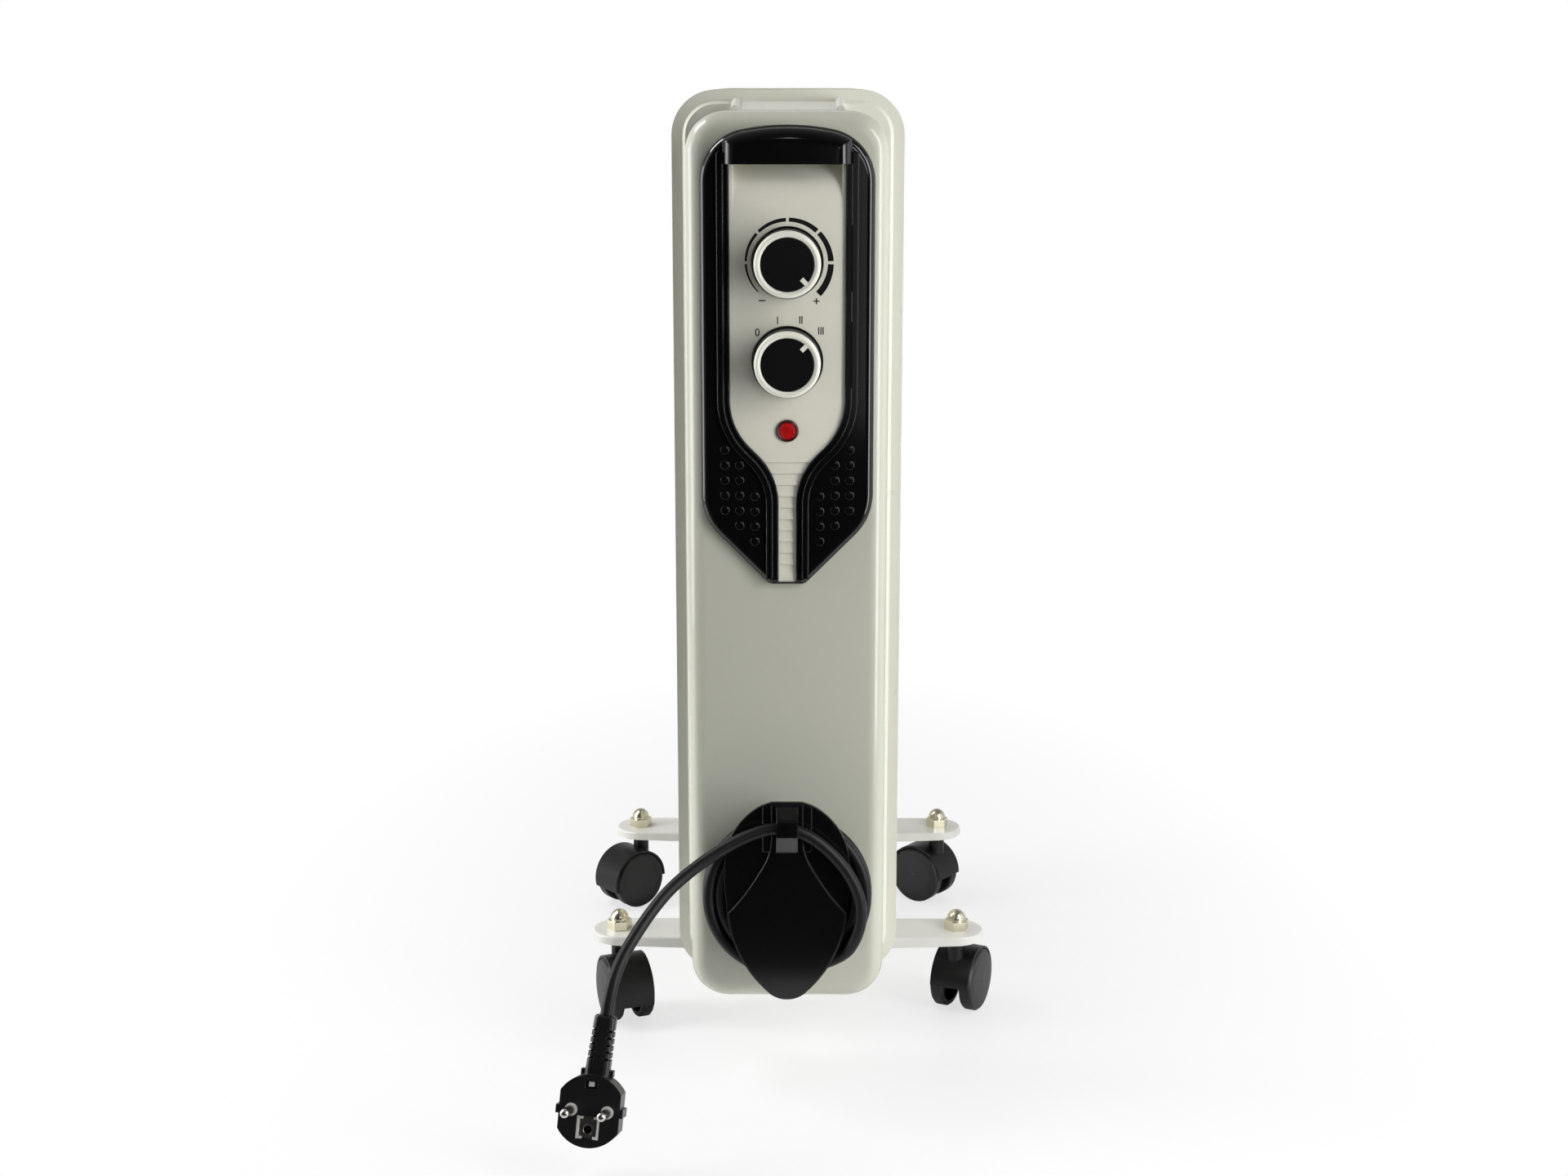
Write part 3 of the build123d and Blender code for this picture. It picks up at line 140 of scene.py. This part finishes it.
def surface(
    name, colour, roughness, mottle=0.06, mottle_size=90.0, grain=0.0, grain_size=900.0, edge=0.0005, **sockets
):
    """A maker's finish: a base colour that drifts a little, a roughness that varies with it, and a fine grain."""
    made = bpy.data.materials.new(name)
    made.use_nodes = True
    tree = made.node_tree
    shader = tree.nodes["Principled BSDF"]
    for socket, value in sockets.items():
        shader.inputs[socket.replace("_", " ")].default_value = value
    place = tree.nodes.new("ShaderNodeTexCoord")
    drift = tree.nodes.new("ShaderNodeTexNoise")
    drift.inputs["Scale"].default_value = mottle_size
    drift.inputs["Detail"].default_value = 3.0
    tree.links.new(place.outputs["Object"], drift.inputs["Vector"])
    tint = tree.nodes.new("ShaderNodeMix")
    tint.data_type = "RGBA"
    tint.inputs[6].default_value = (*[c * (1 - mottle) for c in colour], 1)
    tint.inputs[7].default_value = (*[min(1.0, c * (1 + mottle)) for c in colour], 1)
    tree.links.new(drift.outputs["Fac"], tint.inputs[0])
    tree.links.new(tint.outputs[2], shader.inputs["Base Color"])
    smoothest, roughest = roughness * 0.94, min(1.0, roughness * 1.06)
    tree.links.new(moved_range(tree, drift.outputs["Fac"], smoothest, roughest), shader.inputs["Roughness"])
    rounding = tree.nodes.new("ShaderNodeBevel")
    rounding.samples = 4
    rounding.inputs["Radius"].default_value = edge
    grains = tree.nodes.new("ShaderNodeTexNoise")
    grains.inputs["Scale"].default_value = grain_size
    grains.inputs["Detail"].default_value = 2.0
    tree.links.new(place.outputs["Object"], grains.inputs["Vector"])
    relief = tree.nodes.new("ShaderNodeBump")
    relief.inputs["Strength"].default_value = 1.0
    relief.inputs["Distance"].default_value = grain
    tree.links.new(grains.outputs["Fac"], relief.inputs["Height"])
    tree.links.new(rounding.outputs["Normal"], relief.inputs["Normal"])
    tree.links.new(relief.outputs["Normal"], shader.inputs["Normal"])
    return made


def paint(material, *names):
    """Gives carried-over pieces their finish."""
    for name in names:
        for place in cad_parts[name].material_slots:
            place.material = material


cord_rubber = surface(
    "cord_rubber",
    (0.0050, 0.0051, 0.0052),
    roughness=0.42,
    mottle=0.20,
    mottle_size=160.0,
    grain=0.00003,
    grain_size=2400.0,
    Specular_IOR_Level=0.30,
)
lead_curve.materials.append(cord_rubber)
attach(mains_lead, "heater")
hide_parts("cord_tube", "cord_coil")

# The plug: a two pin earthed mains plug moulded in one with its ribbed boot in black vinyl, with nickel plated
# brass pins and two sprung earth strips let into its sides.
plug_vinyl = surface(
    "plug_vinyl",
    (0.0060, 0.0060, 0.0062),
    roughness=0.34,
    mottle=0.15,
    mottle_size=120.0,
    grain=0.00003,
    grain_size=1800.0,
)
paint(plug_vinyl, "plug_body", "plug_boot", "cord_gland")
plug_middle = (-0.102, -0.2645, 0.0391)
plug_facing = (-0.09941, -0.94585, 0.30902)


def worked(tree, operation, *terms):
    """The result of a sum on shader values and plain numbers."""
    node = tree.nodes.new("ShaderNodeMath")
    node.operation = operation
    for term, socket in zip(terms, node.inputs):
        if isinstance(term, bpy.types.NodeSocket):
            tree.links.new(term, socket)
        else:
            socket.default_value = term
    return node.outputs[0]


def plated(name, frost_from, frost_to):
    """Nickel plating, polished, and frosted and paler between two distances in front of the plug's face."""
    made = surface(
        name,
        (0.60, 0.59, 0.56),
        roughness=0.22,
        mottle=0.05,
        mottle_size=300.0,
        grain=0.00001,
        grain_size=3000.0,
        Metallic=1.0,
    )
    tree = made.node_tree
    shader = tree.nodes["Principled BSDF"]
    place = tree.nodes.new("ShaderNodeTexCoord")
    offset = tree.nodes.new("ShaderNodeVectorMath")
    offset.operation = "SUBTRACT"
    offset.inputs[1].default_value = plug_middle
    tree.links.new(place.outputs["Object"], offset.inputs[0])
    ahead = tree.nodes.new("ShaderNodeVectorMath")
    ahead.operation = "DOT_PRODUCT"
    ahead.inputs[1].default_value = plug_facing
    tree.links.new(offset.outputs["Vector"], ahead.inputs[0])
    past_first = worked(tree, "GREATER_THAN", ahead.outputs["Value"], frost_from)
    before_last = worked(tree, "LESS_THAN", ahead.outputs["Value"], frost_to)
    frosted = worked(tree, "MULTIPLY", past_first, before_last)
    for socket, polished, matt in (("Roughness", 0.22, 0.55), ("Metallic", 1.0, 0.35)):
        tree.links.new(moved_range(tree, frosted, polished, matt), shader.inputs[socket])
    return made


paint(plated("pin_plating", -0.0100, 0.0006), "plug_pins")
paint(plated("earth_plating", -0.0007, 0.0100), "plug_earth_clips")

# The radiator: seven fins, each of two deep drawn steel sheets roll welded round the rim and filled with oil,
# joined through their header collars and stoved all over in warm light grey enamel.
stoved = dict(mottle=0.006, mottle_size=60.0, grain=0.000002, grain_size=700.0)
fin_enamel = surface(
    "fin_enamel", (0.80, 0.797, 0.695), roughness=0.28, **stoved, Coat_Weight=0.25, Coat_Roughness=0.14
)
paint(fin_enamel, *[f"fin_{i}" for i in range(1, 8)])

# The heating element: a steel flange welded into the low header, with two hairpin tubes of annealed steel that
# run the length of the header in the oil.
element_steel = surface(
    "element_steel",
    (0.33, 0.32, 0.30),
    roughness=0.42,
    mottle=0.12,
    mottle_size=80.0,
    grain=0.00004,
    grain_size=900.0,
    Metallic=1.0,
)
paint(element_steel, "element_flange", "heating_element")

# The back plate of the control box and the standoffs that hold it off the first fin, and the U-bolts, wing nuts,
# screws and shafts: pressed, bent and turned steel, bright zinc plated.
zinc_steel = surface(
    "zinc_steel",
    (0.56, 0.57, 0.58),
    roughness=0.33,
    mottle=0.10,
    mottle_size=140.0,
    grain=0.00003,
    grain_size=1200.0,
    Metallic=1.0,
)
paint(
    zinc_steel,
    "back_plate",
    "standoff_brackets",
    "bracket_screws",
    "cover_screws",
    "u_bolts",
    "wing_nuts",
    "thermostat_shaft",
    "rotary_switch_shaft",
)

# The leg plates: pressed steel channels, one between the two fins at each end, stoved in a whiter enamel and drawn
# up to the low header by the U-bolts.
leg_enamel = surface(
    "leg_enamel", (0.76, 0.757, 0.715), roughness=0.30, **stoved, Coat_Weight=0.25, Coat_Roughness=0.14
)
paint(leg_enamel, "leg_plate_front", "leg_plate_rear")

# The acorn nuts that hold the caster stems in the leg plates: turned brass, plated a warm dull nickel. The stems
# are of zinc plated steel.
nut_plating = surface(
    "nut_plating",
    (0.74, 0.70, 0.55),
    roughness=0.24,
    mottle=0.08,
    mottle_size=200.0,
    grain=0.00002,
    grain_size=1500.0,
    Metallic=1.0,
)
paint(nut_plating, "acorn_nuts")
paint(zinc_steel, "caster_stems")

# The casters: twin wheels under a moulded hood, all in black nylon with a fine satin grain, on plain steel axles.
# The wheels are a little paler and shinier than the hoods.
nylon_grain = dict(mottle=0.15, mottle_size=120.0, grain=0.00002, grain_size=1500.0)
caster_nylon = surface(
    "caster_nylon", (0.0040, 0.0040, 0.0042), roughness=0.33, **nylon_grain, Specular_IOR_Level=0.34
)
wheel_nylon = surface(
    "wheel_nylon", (0.0055, 0.0055, 0.0058), roughness=0.36, **nylon_grain, Specular_IOR_Level=0.42
)
for corner in ("fl", "fr", "rl", "rr"):
    paint(caster_nylon, f"caster_{corner}_hood")
    paint(wheel_nylon, f"caster_{corner}_wheel_left", f"caster_{corner}_wheel_right")
    paint(zinc_steel, f"caster_{corner}_axle")

# The control box's cover: deep drawn steel in a greyer enamel than the fins, screwed to the back plate. The
# bridge over the first gap is a pressing in the whiter enamel of the legs.
cover_enamel = surface(
    "cover_enamel", (0.575, 0.583, 0.490), roughness=0.26, **stoved, Coat_Weight=0.3, Coat_Roughness=0.12
)
paint(cover_enamel, "front_cover")
paint(leg_enamel, "top_bridge")

# Inside the box: the thermostat, the rotary switch and the thermal cut-out in brown moulding compound, the neon
# lamp's glass, and the wiring in pale heat resisting sleeve.
switch_moulding = surface(
    "switch_moulding",
    (0.36, 0.30, 0.20),
    roughness=0.40,
    mottle=0.10,
    mottle_size=200.0,
    grain=0.00003,
    grain_size=1500.0,
)
lamp_glass = surface(
    "lamp_glass", (0.85, 0.55, 0.45), roughness=0.08, mottle=0.05, mottle_size=300.0, Transmission_Weight=0.6
)
wire_sleeve = surface(
    "wire_sleeve",
    (0.60, 0.58, 0.52),
    roughness=0.55,
    mottle=0.15,
    mottle_size=60.0,
    grain=0.00004,
    grain_size=2200.0,
)
paint(switch_moulding, "thermostat_body", "rotary_switch_body", "thermal_cutout")
paint(lamp_glass, "neon_lamp")
paint(wire_sleeve, "wiring")

# The bezel: a high gloss black moulding clipped over the cover, with raised round grips on its two lower cheeks.
# Each grip is a low flat button with a rounded rim, and they stand in three staggered columns a side.
bezel_black = surface(
    "bezel_black",
    (0.0028, 0.0029, 0.0030),
    roughness=0.09,
    mottle=0.10,
    mottle_size=60.0,
    grain=0.000002,
    grain_size=400.0,
    edge=0.0006,
)
paint(bezel_black, "control_bezel")
cheek_thick = 0.0050
cheek_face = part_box("control_bezel")[1].y - cheek_thick
grip_sunk = 0.00002
grip_radius = 0.0025
grip_pitch = 0.0082
grip_columns = [(0.0333, 0.3670, 5), (0.0255, 0.3588, 5), (0.0174, 0.3419, 4)]
grip_profile = [(1.0, 0.0), (0.985, 0.00018), (0.95, 0.00032), (0.89, 0.00042), (0.82, 0.00046), (0.40, 0.00048)]
grip_corners = 24


def ring_of(mesh, middle_x, middle_z, radius, y, corners):
    """The corners of one upright ring about a place on the heater's front."""
    ring = []
    for k in range(corners):
        turned = 2 * math.pi * k / corners
        place = (middle_x + radius * math.cos(turned), y, middle_z + radius * math.sin(turned))
        ring.append(mesh.verts.new(place))
    return ring


def wall_between(mesh, rings):
    """The faces that join each ring to the next."""
    for low, high in zip(rings, rings[1:]):
        for k in range(len(low)):
            after = (k + 1) % len(low)
            mesh.faces.new((low[k], low[after], high[after], high[k]))


def piece_from(mesh, name, *materials):
    """A piece of the heater from a worked mesh."""
    data = bpy.data.meshes.new(name)
    mesh.to_mesh(data)
    for material in materials:
        data.materials.append(material)
    piece = bpy.data.objects.new(name, data)
    bpy.context.scene.collection.objects.link(piece)
    return piece


grips = bmesh.new()
for across, top_height, count in grip_columns:
    for side in (-1, 1):
        for k in range(count):
            height = top_height - grip_pitch * k
            rings = []
            for share, rise in grip_profile:
                y = cheek_face + grip_sunk - rise
                rings.append(ring_of(grips, side * across, height, grip_radius * share, y, grip_corners))
            wall_between(grips, rings)
            grips.faces.new(rings[-1])
for face in grips.faces:
    face.smooth = True
bmesh.ops.recalc_face_normals(grips, faces=grips.faces)
bezel_grips = piece_from(grips, "bezel_grips", bezel_black)
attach(bezel_grips, "heater")

# The fascia: a satin off-white moulding let into the bezel, with its marks printed in black: a band round the
# thermostat's knob that grows from minus to plus, and 0, I, II and III over the switch's knob.
satin_grain = dict(mottle=0.012, mottle_size=80.0, grain=0.00002, grain_size=1200.0)
fascia_plastic = surface("fascia_plastic", (0.81, 0.795, 0.680), roughness=0.36, **satin_grain)
paint(fascia_plastic, "control_fascia")
fascia_face, ink_thick = -0.1519, 0.00005
mark_face = fascia_face - ink_thick
dial_middle = (0.0, 0.466)
switch_middle = (0.0, 0.4139)
marks = bmesh.new()


def printed(*outline):
    """One printed shape, from its corners on the fascia."""
    marks.faces.new([marks.verts.new((x, mark_face, z)) for x, z in outline])


def bar(x, z, half_width, half_height):
    """One printed stroke about a place."""
    left, right, low, high = x - half_width, x + half_width, z - half_height, z + half_height
    printed((left, low), (left, high), (right, high), (right, low))


def from_dial(radius, clockwise):
    """A place at a radius and an angle clockwise from the top of the thermostat's knob."""
    turned = math.radians(clockwise)
    return (dial_middle[0] + radius * math.sin(turned), dial_middle[1] + radius * math.cos(turned))


band_start, band_sweep, band_piece, band_gap = 225, 270, 45, 2
band_inner, band_thin, band_growth = 0.0213, 0.0006, 0.0029
band_steps = 15
for first in range(band_start, band_start + band_sweep, band_piece):
    start = first + (band_gap if first > band_start else 0)
    stop = first + band_piece - (band_gap if first + band_piece < band_start + band_sweep else 0)
    edges = []
    for k in range(band_steps + 1):
        degrees = start + (stop - start) * k / band_steps
        grown = (degrees - band_start) / band_sweep
        band_outer = band_inner + band_thin + band_growth * grown
        edges.append((from_dial(band_inner, degrees), from_dial(band_outer, degrees)))
    for (low_inner, low_outer), (high_inner, high_outer) in zip(edges, edges[1:]):
        printed(low_inner, low_outer, high_outer, high_inner)
stroke = 0.00032
minus_half, plus_half = 0.0018, 0.0016
minus_place = (dial_middle[0] - 0.0133, dial_middle[1] - 0.0198)
plus_place = (dial_middle[0] + 0.0153, dial_middle[1] - 0.0201)
bar(*minus_place, minus_half, stroke)
bar(*plus_place, plus_half, stroke)
for side in (1, -1):
    bar(plus_place[0], plus_place[1] + side * (plus_half + stroke) / 2, stroke, (plus_half - stroke) / 2)
numeral_half, numeral_pitch, numeral_stroke = 0.0020, 0.00115, stroke * 0.9
for across, up, strokes in ((-0.0052, 0.0219, 1), (0.0071, 0.0221, 2), (0.0177, 0.0164, 3)):
    for k in range(strokes):
        beside = numeral_pitch * (k - (strokes - 1) / 2)
        bar(switch_middle[0] + across + beside, switch_middle[1] + up, numeral_stroke, numeral_half)
zero_place = (switch_middle[0] - 0.0159, switch_middle[1] + 0.0156)
zero_outer = (0.00125, numeral_half + 0.0001)
zero_inner = (0.00065, numeral_half - 0.0005)
zero_corners = 24


def on_zero(half_sizes, corner):
    """A corner of one of the two ovals that bound the nought."""
    turned = 2 * math.pi * corner / zero_corners
    return (zero_place[0] + half_sizes[0] * math.cos(turned), zero_place[1] + half_sizes[1] * math.sin(turned))


for k in range(zero_corners):
    printed(on_zero(zero_outer, k), on_zero(zero_outer, k + 1), on_zero(zero_inner, k + 1), on_zero(zero_inner, k))
bmesh.ops.recalc_face_normals(marks, faces=marks.faces)
for face in marks.faces:
    if face.normal.y > 0:
        face.normal_flip()
mark_ink = surface(
    "mark_ink", (0.006, 0.006, 0.006), roughness=0.50, mottle=0.10, mottle_size=400.0, Specular_IOR_Level=0.2
)
fascia_marks = piece_from(marks, "fascia_marks", mark_ink)
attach(fascia_marks, "heater")

# The two knobs: off-white mouldings with a black cap let into the face and a white pointer. Each is pushed on to
# its shaft and stands in a round recess of the fascia.
knob_plastic = surface("knob_plastic", (0.870, 0.865, 0.770), roughness=0.30, **satin_grain)
knob_cap_black = surface(
    "knob_cap_black",
    (0.0034, 0.0034, 0.0036),
    roughness=0.42,
    mottle=0.12,
    mottle_size=120.0,
    grain=0.00002,
    grain_size=1800.0,
    Specular_IOR_Level=0.15,
)
paint(knob_plastic, "thermostat_knob", "switch_knob")
paint(knob_cap_black, "thermostat_knob_cap", "switch_knob_cap")

# The knobs' bodies behind their white rims are black sleeves. In each knob's recess a black ring, set a little to
# the upper right of the knob, shows in the gap round it. The ring is painted shade: it stands in for the shadow on
# the recess's upper right wall.
knob_black = surface(
    "knob_black", (0.0030, 0.0030, 0.0031), roughness=0.30, mottle=0.10, mottle_size=120.0, Specular_IOR_Level=0.35
)
knob_corners = 64


def turned_ring(mesh, profile):
    """A closed ring round a knob, from the (middle across, middle up, radius, y) of each edge that it has."""
    rings = [ring_of(mesh, x, z, radius, y, knob_corners) for x, z, radius, y in profile]
    wall_between(mesh, [*rings, rings[0]])
    bmesh.ops.recalc_face_normals(mesh, faces=mesh.faces)


# The painted shade ring: set off to the upper right of each knob, so that it darkens the gap most at the top and
# right.
shade_ring_back, shade_ring_edge, shade_ring_top = -0.1496, -0.1516, -0.1518
shade_ring_bore, shade_ring_seat, shade_ring_lip, shade_ring_rim = 0.01812, 0.01830, 0.01850, 0.01858
recess_shade = bmesh.new()
for x, z in (dial_middle, switch_middle):
    right, up = x + 0.00034, z + 0.00016
    turned_ring(
        recess_shade,
        [
            (x, z, shade_ring_bore, shade_ring_back),
            (x, z, shade_ring_bore, shade_ring_edge),
            (right, up, shade_ring_seat, shade_ring_top),
            (right, up, shade_ring_lip, shade_ring_top),
            (right, up, shade_ring_rim, shade_ring_edge),
            (right, up, shade_ring_rim, shade_ring_back),
        ],
    )
knob_recess_shade = piece_from(recess_shade, "knob_recess_shade", knob_black)
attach(knob_recess_shade, "heater")

knob_rim = 0.0036
skirt_inside, skirt_front, skirt_back = 0.01790, 0.01763, 0.01806
for name, (x, z), body in (
    ("thermostat_knob", dial_middle, "thermostat_control"),
    ("switch_knob", switch_middle, "switch_control"),
):
    knob_low, knob_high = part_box(name)
    rim_end, skirt_end = knob_low.y + knob_rim, knob_high.y - 0.0002
    skirt = bmesh.new()
    turned_ring(
        skirt,
        [
            (x, z, skirt_inside, rim_end),
            (x, z, skirt_front, rim_end),
            (x, z, skirt_back, skirt_end),
            (x, z, skirt_inside, skirt_end),
        ],
    )
    knob_skirt = piece_from(skirt, f"{name}_skirt", knob_black)
    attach(knob_skirt, body)

# The lamp's lens: clear red acrylic, a smooth outer ring round a face cut into small prisms that spread the light.
# It is pushed into the fascia from the front, over the neon lamp.
lens_red = surface(
    "lens_red", (0.62, 0.003, 0.005), roughness=0.30, mottle=0.25, mottle_size=900.0, Specular_IOR_Level=0.15
)
lens_rim_red = surface(
    "lens_rim_red",
    (0.050, 0.001, 0.002),
    roughness=0.12,
    mottle=0.15,
    mottle_size=500.0,
    Coat_Weight=0.4,
    Coat_Roughness=0.05,
)
lens_low, lens_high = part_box("indicator_lens")
lens_middle = (lens_low + lens_high) / 2
lens_radius = (lens_high.x - lens_low.x) / 2
lens_corners = 48
lens_profile = [(1.0, 0.0030), (1.0, 0.0010), (0.94, 0.0003), (0.86, 0.0000), (0.80, 0.0003), (0.76, 0.0008)]
prism_share, prism_rows = 0.72, 6
prism_top, prism_groove = 0.00025, 0.00065
lens = bmesh.new()
rings = [
    ring_of(lens, lens_middle.x, lens_middle.z, lens_radius * share, lens_low.y + depth, lens_corners)
    for share, depth in lens_profile
]
for row in range(prism_rows):
    share = prism_share * (1 - row / prism_rows)
    rings.append(ring_of(lens, lens_middle.x, lens_middle.z, lens_radius * share, lens_low.y, lens_corners))
    for k, corner in enumerate(rings[-1]):
        corner.co.y += prism_top if (k + 2 * row) % 4 < 2 else prism_groove
wall_between(lens, rings)
lens.faces.new(rings[-1])
bmesh.ops.recalc_face_normals(lens, faces=lens.faces)
prism_lens = piece_from(lens, "prism_lens", lens_red, lens_rim_red)
for face in prism_lens.data.polygons:
    if (face.center.xz - lens_middle.xz).length > prism_share * lens_radius:
        face.material_index = 1
        face.use_smooth = True
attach(prism_lens, "heater")
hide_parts("indicator_lens")

# The cord holder: one gloss black moulding of a drum, a shield and the clip at its neck, screwed to the cover
# through the drum.
holder_black = surface(
    "holder_black",
    (0.0036, 0.0037, 0.0037),
    roughness=0.14,
    mottle=0.10,
    mottle_size=60.0,
    grain=0.000003,
    grain_size=400.0,
    edge=0.0008,
)
paint(holder_black, "cord_holder")

# The floor: a plain white sheet with a faint gloss. The camera sees it turn fully white away from the heater, and
# keeps the heater's shadow close to it.
floor_near, floor_far, floor_side = -0.36, 4, 3
fade_start, fade_end, fade_depth = 0.15, 0.40, 0.5
whiteness_near = 0.68
floor_corners = [
    (-floor_side, floor_near, 0),
    (floor_side, floor_near, 0),
    (floor_side, floor_far, 0),
    (-floor_side, floor_far, 0),
]
floor_mesh = bpy.data.meshes.new("floor")
floor_mesh.from_pydata(floor_corners, [], [(0, 1, 2, 3)])
floor = bpy.data.objects.new("floor", floor_mesh)
bpy.context.scene.collection.objects.link(floor)
floor_white = bpy.data.materials.new("floor_white")
floor_white.use_nodes = True
tree = floor_white.node_tree
shader = tree.nodes["Principled BSDF"]
shader.inputs["Roughness"].default_value = 0.35
shader.inputs["Base Color"].default_value = (0.86, 0.86, 0.86, 1)
glow = tree.nodes.new("ShaderNodeEmission")
glow.inputs["Color"].default_value = (1, 1, 1, 1)
ray = tree.nodes.new("ShaderNodeLightPath")
where = tree.nodes.new("ShaderNodeTexCoord")
squeeze = tree.nodes.new("ShaderNodeVectorMath")
squeeze.operation = "MULTIPLY"
squeeze.inputs[1].default_value = (1.0, fade_depth, 1.0)
tree.links.new(where.outputs["Object"], squeeze.inputs[0])
away = tree.nodes.new("ShaderNodeVectorMath")
away.operation = "LENGTH"
tree.links.new(squeeze.outputs["Vector"], away.inputs[0])
fade = moved_range(tree, away.outputs["Value"], whiteness_near, 1.0, from_min=fade_start, from_max=fade_end)
seen = worked(tree, "MULTIPLY", ray.outputs["Is Camera Ray"], fade)
both = tree.nodes.new("ShaderNodeMixShader")
tree.links.new(seen, both.inputs[0])
tree.links.new(shader.outputs[0], both.inputs[1])
tree.links.new(glow.outputs[0], both.inputs[2])
tree.links.new(both.outputs[0], tree.nodes["Material Output"].inputs["Surface"])
floor_mesh.materials.append(floor_white)

# The surround: white to the camera and through glass. What it lights is paler from behind the heater than from in
# front, dimmer overhead, and dimmer again in mirrored light, which keeps the black mouldings black.
surround = bpy.data.worlds.new("surround")
bpy.context.scene.world = surround
surround.use_nodes = True
tree = surround.node_tree
tree.nodes.clear()
out = tree.nodes.new("ShaderNodeOutputWorld")
ray = tree.nodes.new("ShaderNodeLightPath")
direction = tree.nodes.new("ShaderNodeTexCoord")
compass = tree.nodes.new("ShaderNodeSeparateXYZ")
tree.links.new(direction.outputs["Generated"], compass.inputs[0])
behind = moved_range(tree, compass.outputs["Y"], to_min=0.02, to_max=1.0, from_min=-0.85, from_max=0.35)
overhead = moved_range(tree, compass.outputs["Z"], to_min=1.0, to_max=0.35, from_min=0.15, from_max=0.85)
mirrored = moved_range(tree, ray.outputs["Is Glossy Ray"], to_min=1.0, to_max=0.65)
surround_level = 1.05
plain_light = worked(tree, "MULTIPLY", worked(tree, "MULTIPLY", behind, overhead), surround_level)
lit = tree.nodes.new("ShaderNodeBackground")
lit.inputs["Color"].default_value = (1, 1, 1, 1)
tree.links.new(worked(tree, "MULTIPLY", plain_light, mirrored), lit.inputs["Strength"])
white = tree.nodes.new("ShaderNodeBackground")
white.inputs["Color"].default_value = (1, 1, 1, 1)
seen = worked(tree, "MAXIMUM", ray.outputs["Is Camera Ray"], ray.outputs["Is Transmission Ray"])
both = tree.nodes.new("ShaderNodeMixShader")
tree.links.new(seen, both.inputs[0])
tree.links.new(lit.outputs[0], both.inputs[1])
tree.links.new(white.outputs[0], both.inputs[2])
tree.links.new(both.outputs[0], out.inputs["Surface"])


# The lamps: soft boxes low on both sides, one high on each side, a square one far in front, and two narrow panels
# whose reflections show the roundness of the black mouldings and the lip of the holder's clip.
def soft_lamp(name, place, aim, width, height, power):
    """A rectangular soft lamp at a place, aimed at a point."""
    lamp = bpy.data.lights.new(name, "AREA")
    lamp.shape = "RECTANGLE"
    lamp.size, lamp.size_y, lamp.energy = width, height, power
    lamp_object = bpy.data.objects.new(name, lamp)
    lamp_object.location = place
    lamp_object.visible_camera = False
    lamp_object.rotation_euler = (Vector(aim) - Vector(place)).to_track_quat("-Z", "Y").to_euler()
    bpy.context.scene.collection.objects.link(lamp_object)


soft_lamp("right_near_lamp", (0.55, -0.52, 0.38), (0, -0.15, 0.25), 0.22, 0.80, 3.8)
soft_lamp("right_side_lamp", (0.85, -0.10, 0.45), (0, -0.10, 0.3), 0.40, 0.90, 0.9)
soft_lamp("key_lamp", (0.66, -0.75, 1.00), (0, -0.15, 0.3), 0.25, 0.25, 1.3)
soft_lamp("left_lamp", (-1.10, -0.26, 0.60), (0, -0.05, 0.3), 0.5, 1.1, 3.2)
soft_lamp("left_side_lamp", (-0.95, -0.06, 0.40), (0, -0.06, 0.3), 0.4, 0.7, 3.6)
soft_lamp("left_high_lamp", (-0.80, 0.05, 1.25), (0, 0.0, 0.45), 0.4, 0.4, 6.5)
soft_lamp("front_lamp", (0.5, -1.9, 0.75), (0, -0.15, 0.3), 0.45, 0.45, 1.9)
soft_lamp("front_panel", (0.15, -1.9, 0.33), (0.15, 0, 0.33), 0.12, 0.42, 0.14)
soft_lamp("clip_panel", (0.0, -1.67, 1.48), (0, -0.18, 0.155), 0.07, 0.22, 0.22)
bpy.context.scene.view_settings.view_transform = "Standard"
